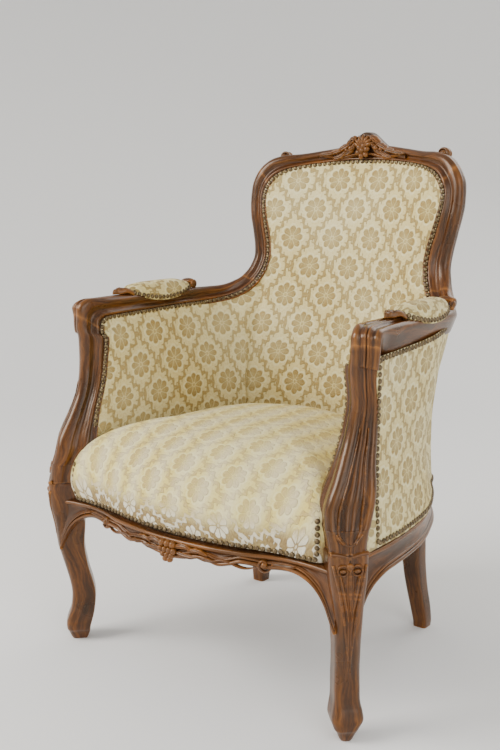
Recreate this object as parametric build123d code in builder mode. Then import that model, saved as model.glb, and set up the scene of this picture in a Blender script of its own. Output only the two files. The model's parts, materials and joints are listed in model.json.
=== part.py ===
"""Low-backed tub armchair in the Louis XV manner: carved walnut frame, close-nailed velvet covers.

Millimetres, +Z up, the front of the chair faces -Y and the origin is on the floor under its middle.
Lists of stations describe the right half (+X); the left half is its mirror image.
"""

import os
from math import hypot

from build123d import *

os.makedirs("parts", exist_ok=True)

# ---------------------------------------------------------------- driving dimensions
SEAT_RAIL_TOP = 318          # top of the four seat rails
SEAT_RAIL_BOTTOM = 274
RAIL_THICKNESS = 28
WEBBING_SEAT_Z = 284         # top of the step under the rails that takes webbing and dust cover
LEG_TOP = 335                # front leg meets the arm post here
ARM_UNDERSIDE = 645

WOOD_UNDER_COVER = 10        # show-wood that runs on under the edge of the cover
COVER_LAP = 5                # cover beyond the nail line
CREST_DEPTH = 32             # front to back of the crest and stiles
ARM_DEPTHS = (32, 24, 40, 48, 50, 50)  # width of the arm rail at its stations

COVER = 2.0                  # velvet with its backing
GAP = 0.3                    # kept between layers that only touch
PADDING = 12
NAIL_PITCH = 11
NAIL_RADIUS = 4.75
NAIL_HEIGHT = 3.2
NAIL_ROW_UP = 6              # armrest nails above the pad's foot
DOWEL_RADIUS = 5
DOWEL_LENGTH = 40
SCREW_RADIUS = 2.2

# Show-wood stations: (nail line point, outer edge point)
CREST = [
    ((0, 295, 949), (0, 301, 985)),
    ((100, 281, 944), (102, 287, 976)),
    ((168, 254, 932), (180, 261, 968)),
    ((205, 236, 905), (235, 242, 940)),
]
STILE = [
    ((205, 236, 905), (235, 242, 940)),
    ((213, 227, 862), (256, 233, 872)),
    ((200, 220, 803), (246, 228, 803)),
    ((191, 213, 752), (238, 223, 750)),
    ((197, 203, 718), (245, 211, 722)),
    ((207, 193, 698), (254, 197, 706)),
]
ARM = [
    ((207, 193, 698), (254, 197, 706)),
    ((243, 153, 664), (270, 162, 692)),
    ((275, 75, 652), (285, 78, 690)),
    ((284, -65, 648), (289, -65, 688)),
    ((285, -150, 646), (290, -150, 687)),
    ((289, -238, 645), (294, -238, 686)),
]

# Front leg and arm post: (height, centre x, centre y, width across the corner, width along it)
LEG = [
    (0, 316, -254, 26, 34),
    (12, 317, -255, 34, 42),
    (45, 317, -252, 52, 50),
    (90, 310, -245, 43, 47),
    (140, 314, -252, 42, 44),
    (200, 321, -263, 46, 50),
    (250, 321, -265, 54, 60),
    (300, 323, -271, 64, 62),
    (335, 323, -272, 60, 58),
]
POST = [
    (335, 323, -272, 60, 58),
    (380, 315, -262, 73, 64),
    (410, 311, -251, 78, 74),
    (450, 310, -235, 64, 64),
    (500, 308, -215, 52, 54),
    (560, 307, -202, 44, 55),
    (600, 304, -203, 45, 58),
    (645, 305, -208, 50, 64),
]
REAR_LEG = [
    (0, 209, 216, 30, 30),
    (30, 207, 213, 34, 34),
    (120, 194, 208, 38, 38),
    (220, 189, 208, 42, 42),
    (320, 192, 203, 42, 36),
]

# Seat rails in plan
FRONT_RAIL = [(0, -333), (90, -326), (150, -314), (205, -294), (250, -288), (300, -292)]
SIDE_RAIL = [(342, -235), (345, -150), (337, -65), (321, 0), (289, 88), (252, 156), (228, 196)]
BACK_RAIL_Y = 228
BRACKET_LOW = 208            # lowest point of the brackets beside the front legs
# lower edges in elevation: (x, z) from the middle of the front, (y, z) from the leg back
FRONT_LOWER_EDGE = [(0, 264), (60, 273), (100, 270), (140, 280), (185, 275), (225, 277),
                    (258, 268), (281, 248), (296, 214)]
SIDE_LOWER_EDGE = [(-246, 214), (-231, 246), (-208, 264), (-176, 273), (-140, 274)]
SIDE_RAIL_END = 240

# Tub wall of the right arm, from the post to the stile: (inner top point x, y; direction outward;
# inner top height; outer top height; offsets outward of the inner mid, outer top, waist and low)
TUB = [
    ((287, -222), (1, 0), 645, 634, 2, 51, 51, 55),
    ((285, -125), (1, 0), 646, 634, -10, 52, 48, 56),
    ((281, 5), (1, 0.05), 648, 636, -20, 50, 31, 40),
    ((270, 95), (0.97, 0.25), 651, 640, -34, 34, -4, 14),
    ((243, 153), (0.85, 0.53), 664, 654, -40, 36, -6, 8),
    ((205, 198), (0, 1), 688, 684, -52, 46, 28, 25),
]
TACK_BAR = [(18, 40), (5, 30), (-5, 20), (-19, -11), (-24, -14), (0, 16)]
TUB_LOW, TUB_MID, TUB_WAIST = 322, 450, 434

# Tub wall of the back: (height, inner y at the middle and side, outer y at the middle and side)
BACK_SIDE_X = 222
BACK = [
    (TUB_LOW, 200, 137, 230, 222),
    (450, 200, 137, 249, 231),
    (664, 247, 185, 281, 246),
    (952, 295, 236, 325, 266),
]

SEAT_CROWN = 470

PAD_MIDDLE, PAD_BASE = -15, 672  # lowest point of the hollow under the armrest's pad
HOLLOW_RADIUS = 250
STEP_Z, STEP_DEPTH = 300, 17  # step in the front rail for the edge of the seat cover

# ---------------------------------------------------------------- helpers


def unit(x, y):
    """The direction (x, y) at length 1."""
    size = hypot(x, y)
    return x / size, y / size


def frame_planes(stations, before=None, after=None):
    """A plane and a face width at each show-wood station: x runs outward across the face,
    y runs out of the face, z runs along the member."""
    middles = [(Vector(*a) + Vector(*b)) / 2 for a, b in stations]
    chain = ([before] if before else []) + middles + ([after] if after else [])
    first = 1 if before else 0
    planes = []
    for i, (nail, edge) in enumerate(stations):
        here = i + first
        ahead = chain[min(here + 1, len(chain) - 1)]
        behind = chain[max(here - 1, 0)]
        across = Vector(*edge) - Vector(*nail)
        planes.append((Plane(middles[i], x_dir=across, z_dir=square_to(ahead - behind, across)),
                       across.length))
    return planes


def square_to(along, across):
    """The direction along, with what it has of across taken out."""
    unit_across = across.normalized()
    return (along - unit_across * along.dot(unit_across)).normalized()


def wood_face(width, depth):
    """Section of the show-wood: its outer corners are rounded, its inner edge is square."""
    half = width / 2
    inner = -half - WOOD_UNDER_COVER
    soft = 9
    with BuildLine() as outline:
        Polyline((half - soft, 0), (inner, 0), (inner, -depth), (half - soft, -depth))
        JernArc((half - soft, -depth), (1, 0), soft, 90)
        Line((half, -depth + soft), (half, -soft))
        JernArc((half, -soft), (0, 1), soft, 90)
    make_face(outline.edges())


def middle(station):
    """The point midway between a station's nail line and its outer edge."""
    return (Vector(*station[0]) + Vector(*station[1])) / 2


def mirrored(station):
    """A station's mirror image on the left half."""
    return tuple((-x, y, z) for x, y, z in station)


def turned_section(x, y, across, along):
    """Rounded section of a leg or post, set with its corner to the front diagonal."""
    with Locations(Location((x, y), -45)):
        RectangleRounded(along, across, min(along, across) * 0.36)


def drill(dowels, mode=Mode.SUBTRACT, radius=DOWEL_RADIUS, length=DOWEL_LENGTH):
    """Dowels, or the blind holes they fill: (centre point, direction) each."""
    for centre, direction in dowels:
        with Locations(Plane(centre, z_dir=direction)):
            Cylinder(radius, length, mode=mode)


def curve_points(points, pitch):
    """Points at an even pitch along a smooth line through the points, with their share of it."""
    with BuildLine() as line:
        Spline(*points)
    edge = line.edge()
    count = max(2, round(edge.length / pitch))
    steps = [(i + 0.5) / count for i in range(count)]
    return [(edge.position_at(u), u) for u in steps]


def pad_foot(y):
    """Height of the hollow under the armrest's pad at a place along it."""
    return PAD_BASE + HOLLOW_RADIUS - (HOLLOW_RADIUS**2 - (y - PAD_MIDDLE)**2) ** 0.5


def mirror_planes(planes):
    """The same planes on the left half."""
    return [Plane((-p.origin.X, p.origin.Y, p.origin.Z),
                  z_dir=(-p.z_dir.X, p.z_dir.Y, p.z_dir.Z)) for p in planes]


def finish(builder, name, single=False):
    """Labels a finished piece and writes it; single drops offcuts that the cuts have left."""
    shape = builder.part.solids().sort_by(SortBy.VOLUME)[-1] if single else builder.part
    shape.label = name
    export_step(shape, f"parts/{name}.step")


def finish_mirrored(builder, name):
    """Writes the right-hand piece and its left-hand mirror image."""
    finish(builder, f"{name}_right", single=True)
    with BuildPart() as left:
        add(mirror(builder.part, about=Plane.YZ, mode=Mode.PRIVATE))
    finish(left, f"{name}_left", single=True)
    return left


# ---------------------------------------------------------------- layers of the tub
FRONT_OF_WOOD = -24          # far enough in front of the cover to clear the wood's face


def polygon_faces(sections):
    """Faces to loft through: each section is a plane with the corners of a polygon in it."""
    faces = []
    for plane, corners in sections:
        with BuildSketch(plane) as section:
            with BuildLine() as outline:
                Polyline(*corners, close=True)
            make_face(outline.edges())
        faces.append(section.sketch.face())
    return faces


def tub_plane(point, outward):
    """Upright plane across the tub wall: x runs outward, y runs up."""
    nx, ny = unit(*outward)
    return Plane((*point, 0), x_dir=(nx, ny, 0), z_dir=(ny, -nx, 0))


def arm_layer(near, far, trim=0):
    """Sections of a layer behind the arm's inner surface; trim lowers its top edge."""
    sections = []
    for point, outward, top, _, mid, _, _, _ in TUB:
        sections.append((tub_plane(point, outward), [
            (mid + near, TUB_LOW), (mid + near, TUB_MID), (near, top - trim),
            (far, top - trim), (mid + far, TUB_MID), (mid + far, TUB_LOW)]))
    return polygon_faces(sections)


def outer_arm_layer(thickness):
    """Sections of the outside arm panel."""
    sections = []
    for point, outward, _, top, _, out_top, waist, low in TUB:
        sections.append((tub_plane(point, outward), [
            (low, TUB_LOW), (waist, TUB_WAIST), (out_top, top), (out_top - thickness, top),
            (waist - thickness, TUB_WAIST), (low - thickness, TUB_LOW)]))
    return polygon_faces(sections)


def back_layer(near, far, outer=False):
    """Sections of a layer behind the back's inner surface, or behind its outer surface."""
    faces = []
    for z, *lines in BACK:
        centre, side = lines[2:] if outer else lines[:2]
        with BuildSketch(Plane.XY.offset(z)) as section:
            with BuildLine() as outline:
                front = ThreePointArc((-BACK_SIDE_X, side + near), (0, centre + near),
                                      (BACK_SIDE_X, side + near))
                rear = ThreePointArc((-BACK_SIDE_X, side + far), (0, centre + far),
                                     (BACK_SIDE_X, side + far))
                Line(front @ 0, rear @ 0)
                Line(front @ 1, rear @ 1)
            make_face(outline.edges())
        faces.append(section.sketch.face())
    return faces


def back_outline(grow, low=TUB_LOW, side=205):
    """Front view of the back inside its frame, grown past the nail line."""
    right = [(side, low), (side, 688)]
    for nail, edge in (STILE[::-1] + CREST[::-1][1:]):
        dx, dz = unit(edge[0] - nail[0], edge[2] - nail[2])
        right.append((nail[0] + dx * grow, nail[2] + dz * grow))
    with BuildSketch(Plane((0, 0, 0), x_dir=(1, 0, 0), z_dir=(0, -1, 0))) as shape:
        with BuildLine() as outline:
            Polyline((0, low), *right[:3])
            Spline(*right[2:], tangents=((-0.6, 0.8), (-1, 0)))
            Polyline((0, low), *[(-x, z) for x, z in right[:3]])
            Spline(*[(-x, z) for x, z in right[2:]], tangents=((0.6, 0.8), (1, 0)))
        make_face(outline.edges())
    return shape.sketch


# the inside cover: one piece over both arms and the back
with BuildPart() as back_cover:
    loft(back_layer(0, COVER))
    extrude(back_outline(COVER_LAP), amount=-500, mode=Mode.INTERSECT)

with BuildPart() as arm_cover:
    loft(arm_layer(0, COVER, -COVER_LAP))

# what the cover and the nails need cut out of the wood's face
with BuildPart() as back_rebate:
    loft(back_layer(FRONT_OF_WOOD, COVER + GAP))
    extrude(back_outline(COVER_LAP + GAP), amount=-500, mode=Mode.INTERSECT)

with BuildPart() as arm_rebate:
    loft(arm_layer(FRONT_OF_WOOD, COVER + GAP, -COVER_LAP - GAP))

# ---------------------------------------------------------------- show-wood frame
CREST_JOINT = frame_planes(STILE, before=middle(CREST[-2]))[0][0]
ARM_JOINT = frame_planes(ARM, before=middle(STILE[-2]))[0][0]

FRAME_DOWELS_RIGHT = [
    (CREST_JOINT.origin - CREST_JOINT.y_dir * CREST_DEPTH / 2, CREST_JOINT.z_dir),
    (ARM_JOINT.origin - ARM_JOINT.y_dir * 18, ARM_JOINT.z_dir),
    ((308, -210, ARM_UNDERSIDE), (0, 0, 1)),
    ((323, -272, LEG_TOP), (0, 0, 1)),
]

crest_stations = [mirrored(s) for s in reversed(CREST[1:])] + CREST
with BuildPart() as crest_rail:
    beyond = middle(STILE[1])
    ends = Vector(-beyond.X, beyond.Y, beyond.Z), beyond
    for plane, width in frame_planes(crest_stations, before=ends[0], after=ends[1]):
        with BuildSketch(plane):
            wood_face(width, CREST_DEPTH)
    loft()
    # carved cresting that rises over the middle of the rail
    with BuildSketch(Plane((0, 294, 0), x_dir=(1, 0, 0), z_dir=(0, -1, 0))):
        with BuildLine():
            Spline((-104, 970), (-60, 985), (-28, 1000), (0, 1006), (28, 1000), (60, 985),
                   (104, 970))
            Line((104, 970), (-104, 970))
        make_face()
    extrude(amount=-36)
    # ears: a small scroll bud on each shoulder
    with Locations((194, 288, 966), (-194, 288, 966)):
        Sphere(11)
    add(back_rebate.part, mode=Mode.SUBTRACT)
    drill(FRAME_DOWELS_RIGHT[:1])
    drill([((-c.X, c.Y, c.Z), (-d.X, d.Y, d.Z)) for c, d in FRAME_DOWELS_RIGHT[:1]])
finish(crest_rail, "crest_rail")

with BuildPart() as back_stile:
    for plane, width in frame_planes(STILE, before=middle(CREST[-2]), after=middle(ARM[1])):
        with BuildSketch(plane):
            wood_face(width, CREST_DEPTH)
    loft()
    add(back_rebate.part, mode=Mode.SUBTRACT)
    drill(FRAME_DOWELS_RIGHT[:2])
back_stile_left = finish_mirrored(back_stile, "back_stile")

with BuildPart() as arm_rail:
    for (plane, width), depth in zip(frame_planes(ARM, before=middle(STILE[-2])), ARM_DEPTHS):
        with BuildSketch(plane):
            wood_face(width, depth)
    loft()
    # flat seat on top of the post
    with Locations((310, -218, ARM_UNDERSIDE - 25)):
        Box(100, 112, 50, mode=Mode.SUBTRACT)
    # hollow on top for the armrest's pad
    with Locations(Plane((310, PAD_MIDDLE, PAD_BASE + HOLLOW_RADIUS), z_dir=(1, 0, 0))):
        Cylinder(HOLLOW_RADIUS, 120, mode=Mode.SUBTRACT)
    add(arm_rebate.part, mode=Mode.SUBTRACT)
    drill(FRAME_DOWELS_RIGHT[1:3])
arm_rail_left = finish_mirrored(arm_rail, "arm_rail")

with BuildPart() as arm_post:
    for z, x, y, across, along in POST:
        with BuildSketch(Plane.XY.offset(z)):
            turned_section(x, y, across, along)
    loft()
    drill(FRAME_DOWELS_RIGHT[2:])
arm_post_left = finish_mirrored(arm_post, "arm_post")

# Dowels that hold each seat rail to the legs: (centre, direction)
RAIL_DOWELS_RIGHT = [
    ((284, -270, 296), (1, 0.1, 0)),
    ((329, -228, 296), (0, 1, 0)),
    ((209, 185, 307), (0.3, -1, 0)),
    ((176, 207, 292), (1, 0, 0)),
]

with BuildPart() as front_leg:
    for z, x, y, across, along in LEG:
        with BuildSketch(Plane.XY.offset(z)):
            turned_section(x, y, across, along)
    loft()
    drill(FRAME_DOWELS_RIGHT[3:])
    drill(RAIL_DOWELS_RIGHT[:2], length=DOWEL_LENGTH + 4)
front_leg_left = finish_mirrored(front_leg, "front_leg")

UPRIGHT_TOP = 655
with BuildPart() as rear_leg:
    for z, x, y, wide, deep in REAR_LEG:
        with BuildSketch(Plane.XY.offset(z)):
            with Locations((x, y)):
                RectangleRounded(wide, deep, wide / 5)
    loft()
    # upright inside the upholstery, from the seat up to the stile
    with BuildSketch(Plane.XY.offset(REAR_LEG[-1][0])):
        with Locations((190, 201)):
            RectangleRounded(32, 24, 4)
    with BuildSketch(Plane.XY.offset(UPRIGHT_TOP)):
        with Locations((211, 219)):
            RectangleRounded(28, 20, 4)
    loft()
    add(back_stile.part, mode=Mode.SUBTRACT)
    add(arm_rail.part, mode=Mode.SUBTRACT)
    drill(RAIL_DOWELS_RIGHT[2:], length=DOWEL_LENGTH + 4)
rear_leg_left = finish_mirrored(rear_leg, "rear_leg")

# ---------------------------------------------------------------- seat frame


def rail_solid(plan, inward, low, high, mode=Mode.ADD):
    """A curved rail: its outer face follows the plan, its inner face is that moved inward."""
    with BuildSketch(Plane.XY.offset(low)) as shape:
        with BuildLine() as outline:
            outer = Spline(*plan)
            inner = Spline(*[(x + inward[0], y + inward[1]) for x, y in plan])
            Line(outer @ 0, inner @ 0)
            Line(outer @ 1, inner @ 1)
        make_face(outline.edges())
    extrude(shape.sketch, amount=high - low, mode=mode)


def slab(low, high, wide_front, wide_back, front, back, mode=Mode.SUBTRACT):
    """A trapezoid slab inside the seat frame."""
    with BuildSketch(Plane.XY.offset(low)) as shape:
        with BuildLine() as outline:
            Polyline((-wide_front, front), (wide_front, front), (wide_back, back),
                     (-wide_back, back), close=True)
        make_face(outline.edges())
    extrude(shape.sketch, amount=high - low, mode=mode)


# inside of the rails, widened by the rebate that takes the webbing
WEB_FRONT, WEB_BACK = -283, BACK_RAIL_Y - 16
WEB_WIDE_FRONT, WEB_WIDE_BACK = 322, 196
LOW_CUT = (SEAT_RAIL_BOTTOM - 20, WEBBING_SEAT_Z, WEB_WIDE_FRONT, WEB_WIDE_BACK, WEB_FRONT,
           WEB_BACK)

front_plan = [(-x, y) for x, y in reversed(FRONT_RAIL[1:])] + FRONT_RAIL
with BuildPart() as seat_rail_front:
    rail_solid(front_plan, (0, 36), BRACKET_LOW, SEAT_RAIL_TOP)
    # lower edge: a centre drop, two side bows and a bracket that curves down into each leg
    with BuildSketch(Plane((0, -360, 0), x_dir=(1, 0, 0), z_dir=(0, -1, 0))):
        with BuildLine() as scallop:
            Spline(*[(-x, z) for x, z in FRONT_LOWER_EDGE[:0:-1]], *FRONT_LOWER_EDGE)
            end_x, end_z = FRONT_LOWER_EDGE[-1]
            Polyline((end_x, end_z), (end_x, BRACKET_LOW - 20), (-end_x, BRACKET_LOW - 20),
                     (-end_x, end_z))
        make_face(scallop.edges())
    extrude(amount=-120, mode=Mode.SUBTRACT)
    # step behind the moulding, which takes the front edge of the seat cover
    rail_solid(front_plan, (0, STEP_DEPTH), STEP_Z, SEAT_RAIL_TOP + 10, mode=Mode.SUBTRACT)
    # carved cluster at the middle
    with Locations((0, -331, 279)):
        Sphere(11)
    slab(*LOW_CUT)
    for leg in (front_leg.part, front_leg_left.part):
        add(leg, mode=Mode.SUBTRACT)
    for side in (1, -1):
        drill([((side * c[0], c[1], c[2]), (side * d[0], d[1], 0)) for c, d in RAIL_DOWELS_RIGHT[:1]],
              length=DOWEL_LENGTH + 4)
finish(seat_rail_front, "seat_rail_front")

with BuildPart() as seat_rail_side:
    rail_solid(SIDE_RAIL, (-RAIL_THICKNESS, -8), BRACKET_LOW, SEAT_RAIL_TOP)
    # lower edge, with a bracket that curves down into the front leg
    with BuildSketch(Plane.YZ.offset(150)):
        with BuildLine() as lower_edge:
            Spline(*SIDE_LOWER_EDGE)
            rear = SIDE_LOWER_EDGE[-1]
            Polyline(rear, (SIDE_RAIL_END, rear[1]), (SIDE_RAIL_END, BRACKET_LOW - 20),
                     (SIDE_LOWER_EDGE[0][0], BRACKET_LOW - 20), SIDE_LOWER_EDGE[0])
        make_face(lower_edge.edges())
    extrude(amount=250, mode=Mode.SUBTRACT)
    slab(*LOW_CUT)
    for leg in (front_leg.part, rear_leg.part, seat_rail_front.part):
        add(leg, mode=Mode.SUBTRACT)
    drill(RAIL_DOWELS_RIGHT[1:3], length=DOWEL_LENGTH + 4)
seat_rail_side_left = finish_mirrored(seat_rail_side, "seat_rail_side")

with BuildPart() as seat_rail_back:
    with BuildSketch(Plane.XY.offset(SEAT_RAIL_BOTTOM)):
        with Locations((0, BACK_RAIL_Y - RAIL_THICKNESS / 2 - 4)):
            Rectangle(348, RAIL_THICKNESS)
    extrude(amount=SEAT_RAIL_TOP - SEAT_RAIL_BOTTOM)
    slab(*LOW_CUT)
    for piece in (rear_leg.part, rear_leg_left.part, seat_rail_side.part, seat_rail_side_left.part):
        add(piece, mode=Mode.SUBTRACT)
    for side in (1, -1):
        drill([((side * c[0], c[1], c[2]), (side * d[0], d[1], 0)) for c, d in RAIL_DOWELS_RIGHT[3:]],
              length=DOWEL_LENGTH + 4)
finish(seat_rail_back, "seat_rail_back")


def both_sides(dowels):
    """Dowels of the right half and their mirror images."""
    return dowels + [((-c[0], c[1], c[2]), (-d[0], d[1], d[2])) for c, d in dowels]


def as_tuples(dowels):
    """Dowels with their points and directions as plain tuples."""
    return [(tuple(Vector(c)), tuple(Vector(d))) for c, d in dowels]


with BuildPart() as frame_dowels:
    drill(both_sides(as_tuples(FRAME_DOWELS_RIGHT)), mode=Mode.ADD)
finish(frame_dowels, "frame_dowels")

with BuildPart() as rail_dowels:
    drill(both_sides(as_tuples(RAIL_DOWELS_RIGHT)), mode=Mode.ADD, length=DOWEL_LENGTH + 4)
finish(rail_dowels, "rail_dowels")

# triangular glue blocks in the corners, each held by one screw into the leg
BLOCK_HEIGHT = 26
FRONT_BLOCK = [(300, -254), (232, -254), (290, -190)]
REAR_BLOCK = [(170, 194), (120, 194), (200, 150), (204, 176)]
BLOCK_SCREWS = [((283, -243, 299), (1, -1, 0)), ((176, 184, 299), (0.6, 1, 0))]

with BuildPart() as corner_blocks:
    for corner in (FRONT_BLOCK, REAR_BLOCK):
        with BuildSketch(Plane.XY.offset(WEBBING_SEAT_Z + 1)) as block:
            Polygon(*corner, align=None)
            mirror(about=Plane.YZ)
        extrude(amount=BLOCK_HEIGHT)
    for piece in (front_leg, front_leg_left, rear_leg, rear_leg_left, seat_rail_front,
                  seat_rail_back, seat_rail_side, seat_rail_side_left):
        add(piece.part, mode=Mode.SUBTRACT)
    add(rail_dowels.part, mode=Mode.SUBTRACT)
    drill(both_sides(BLOCK_SCREWS), radius=SCREW_RADIUS, length=60)
finish(corner_blocks, "corner_blocks")

with BuildPart() as corner_block_screws:
    drill(both_sides(BLOCK_SCREWS), mode=Mode.ADD, radius=SCREW_RADIUS, length=34)
    for piece in (front_leg, front_leg_left, rear_leg, rear_leg_left, seat_rail_front):
        add(piece.part, mode=Mode.SUBTRACT)
finish(corner_block_screws, "corner_block_screws")

# ---------------------------------------------------------------- seat
WEB_STRIP, WEB_THICK = 50, 1.6
DUST_COVER_Z = 276


def web_area(low, high, mode):
    """The area inside the rebate, just clear of its walls."""
    slab(low, high, WEB_WIDE_FRONT - 1, WEB_WIDE_BACK - 1, WEB_FRONT + 1, WEB_BACK - 1, mode)


frame_pieces = [front_leg, front_leg_left, rear_leg, rear_leg_left]

with BuildPart() as seat_webbing_lengthways:
    with Locations(*[(x, -20, WEBBING_SEAT_Z - WEB_THICK / 2) for x in (-120, -60, 0, 60, 120)]):
        Box(WEB_STRIP, 600, WEB_THICK)
    web_area(WEBBING_SEAT_Z - 10, WEBBING_SEAT_Z, Mode.INTERSECT)
finish(seat_webbing_lengthways, "seat_webbing_lengthways")

with BuildPart() as seat_webbing_crossways:
    low_web = WEBBING_SEAT_Z - 1.6 * WEB_THICK
    with Locations(*[(0, y, low_web) for y in (-225, -160, -95, -30, 35, 100, 160)]):
        Box(700, WEB_STRIP, WEB_THICK)
    web_area(WEBBING_SEAT_Z - 10, WEBBING_SEAT_Z, Mode.INTERSECT)
    for piece in frame_pieces:
        add(piece.part, mode=Mode.SUBTRACT)
finish(seat_webbing_crossways, "seat_webbing_crossways")

with BuildPart() as dust_cover:
    web_area(DUST_COVER_Z, DUST_COVER_Z + 1, Mode.ADD)
    for piece in frame_pieces:
        add(piece.part, mode=Mode.SUBTRACT)
finish(dust_cover, "dust_cover")

SPRING_WIRE, SPRING_RADIUS, SPRING_TOP = 1.8, 33, 396
with BuildPart() as spring:
    with BuildLine() as coil:
        Helix(pitch=24, height=SPRING_TOP - WEBBING_SEAT_Z - 2 * SPRING_WIRE - 1, radius=SPRING_RADIUS)
    with BuildSketch(Plane(coil.edge() @ 0, z_dir=coil.edge() % 0)) as wire:
        Circle(SPRING_WIRE)
    sweep(wire.sketch, path=coil.edge(), is_frenet=True)

with BuildPart() as seat_springs:
    with Locations(*[(x, y, WEBBING_SEAT_Z + SPRING_WIRE + 0.5)
                     for x in (-100, 0, 100) for y in (-182, -88, 6, 98)]):
        add(spring.part)
finish(seat_springs, "seat_springs")

# Outline of the seat: right half from the middle of the front to the middle of the back
SEAT_OUTLINE = [
    (0, -320), (90, -313), (150, -302), (205, -290), (250, -286), (284, -262), (272, -180),
    (258, -80), (246, 0), (222, 80), (188, 128), (110, 168), (0, 186),
]
SEAT_CENTRE_Y = -30

# (height, size of the outline at that height)
SEAT_LEVELS = [
    (303, 1), (345, 1.008), (385, 0.985), (420, 0.91), (447, 0.76), (463, 0.53),
    (SEAT_CROWN, 0.25),
]


def seat_dome(shrink, low, mode=Mode.ADD):
    """The seat's domed solid, shrunk by a thickness all round."""
    sections = []
    for i, (z, size) in enumerate(SEAT_LEVELS):
        scale_by = size - shrink / 250
        half = [(x * scale_by, SEAT_CENTRE_Y + (y - SEAT_CENTRE_Y) * scale_by)
                for x, y in SEAT_OUTLINE]
        with BuildSketch(Plane.XY.offset(low if i == 0 else z - shrink)) as section:
            with BuildLine() as outline:
                Spline(*half, tangents=((1, 0), (-1, 0)))
                Spline(*[(-x, y) for x, y in half], tangents=((-1, 0), (1, 0)))
            make_face(outline.edges())
        sections.append(section.sketch.face())
    loft(sections, mode=mode)


with BuildPart() as seat_stuffing:
    seat_dome(COVER + GAP, SEAT_RAIL_TOP + 0.5)
    # room for the springs under the stuffing
    slab(SEAT_RAIL_TOP, SPRING_TOP + 3, 182, 142, -228, 137)
    for piece in (front_leg, front_leg_left, arm_post, arm_post_left):
        add(piece.part, mode=Mode.SUBTRACT)
finish(seat_stuffing, "seat_stuffing", single=True)

with BuildPart() as seat_hessian:
    slab(SPRING_TOP + 0.6, SPRING_TOP + 2.2, 180, 140, -226, 135, mode=Mode.ADD)
finish(seat_hessian, "seat_hessian")

with BuildPart() as seat_cover:
    seat_dome(0, SEAT_LEVELS[0][0])
    seat_dome(COVER, SEAT_LEVELS[0][0] - 1, mode=Mode.SUBTRACT)
    # the cover ends on top of the side and back rails
    with Locations((0, 50, SEAT_RAIL_TOP - 30)):
        Box(800, 640, 60.6, mode=Mode.SUBTRACT)
    for piece in (front_leg, front_leg_left, arm_post, arm_post_left):
        add(piece.part, mode=Mode.SUBTRACT)
finish(seat_cover, "seat_cover", single=True)

# ---------------------------------------------------------------- back and arms

def take_out(*pieces):
    """Cuts other pieces out of the one being made."""
    for piece in pieces:
        add(piece.part, mode=Mode.SUBTRACT)


finish(back_cover, "inside_back_cover")

with BuildPart() as inside_arm_cover:
    add(arm_cover.part)
    take_out(arm_post, front_leg, arm_rail)
    # sewn to the back's cover in the corner
    with Locations((205.2 - 50, 160, 500)):
        Box(100, 200, 500, mode=Mode.SUBTRACT)
finish_mirrored(inside_arm_cover, "inside_arm_cover")

UNDER_COVER = COVER + GAP
with BuildPart() as back_padding:
    loft(back_layer(UNDER_COVER, UNDER_COVER + PADDING))
    extrude(back_outline(-WOOD_UNDER_COVER - 7, side=203), amount=-500, mode=Mode.INTERSECT)
    take_out(rear_leg, rear_leg_left, back_stile, back_stile_left, arm_rail, arm_rail_left)
finish(back_padding, "back_padding", single=True)

with BuildPart() as arm_padding:
    loft(arm_layer(UNDER_COVER, UNDER_COVER + PADDING, WOOD_UNDER_COVER + 4))
    take_out(arm_post, rear_leg, back_stile, arm_rail, front_leg, seat_rail_side)
    take_out(inside_arm_cover, back_cover)
    # ends just short of the back's padding
    with Locations((204 - 50, 160, 500)):
        Box(100, 200, 500, mode=Mode.SUBTRACT)
finish_mirrored(arm_padding, "arm_padding")

WEB_BACK_NEAR = UNDER_COVER + PADDING + GAP
with BuildPart() as back_webbing:
    loft(back_layer(WEB_BACK_NEAR, WEB_BACK_NEAR + WEB_THICK))
    extrude(back_outline(-WOOD_UNDER_COVER - 8, side=150), amount=-500, mode=Mode.INTERSECT)
    with BuildSketch(Plane((0, 0, 0), x_dir=(1, 0, 0), z_dir=(0, -1, 0))):
        with Locations(*[(x, 620) for x in (-111, -37, 37, 111)]):
            Rectangle(WEB_STRIP, 700)
    extrude(amount=-500, mode=Mode.INTERSECT)
finish(back_webbing, "back_webbing")

with BuildPart() as outside_back_cover:
    loft(back_layer(-COVER, 0, outer=True))
    extrude(back_outline(COVER_LAP, low=275, side=204), amount=-500, mode=Mode.INTERSECT)
    take_out(crest_rail, back_stile, back_stile_left, rear_leg, rear_leg_left, seat_rail_back)
finish(outside_back_cover, "outside_back_cover")

with BuildPart() as outside_arm_cover:
    loft(outer_arm_layer(COVER))
    take_out(arm_rail, arm_post, front_leg, rear_leg, back_stile)
    with Locations((204.3 - 50, 200, 500)):
        Box(100, 300, 600, mode=Mode.SUBTRACT)
finish_mirrored(outside_arm_cover, "outside_arm_cover")

BAR_LOW, BAR_HIGH = 396, 424
with BuildPart() as arm_tack_rail:
    bar_sections = []
    for (point, outward, *_), (near, far) in zip(TUB, TACK_BAR):
        bar_sections.append((tub_plane(point, outward), [
            (near, BAR_LOW), (near, BAR_HIGH), (far, BAR_HIGH), (far, BAR_LOW)]))
    loft(polygon_faces(bar_sections))
    take_out(arm_post, rear_leg)
finish_mirrored(arm_tack_rail, "arm_tack_rail")

with BuildPart() as back_tack_rail:
    with Locations((0, 223, (BAR_LOW + BAR_HIGH) / 2)):
        Box(356, 14, BAR_HIGH - BAR_LOW)
    take_out(rear_leg, rear_leg_left, back_webbing)
finish(back_tack_rail, "back_tack_rail")

# ---------------------------------------------------------------- armrest pads
# (y, middle x, width, height) along the pad
PAD = [(-104, 311, 20, 10), (-92, 311, 36, 22), (-60, 310, 48, 32), (PAD_MIDDLE, 309, 54, 36),
       (30, 308, 48, 32), (58, 306, 34, 20), (70, 304, 18, 9)]


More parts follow.
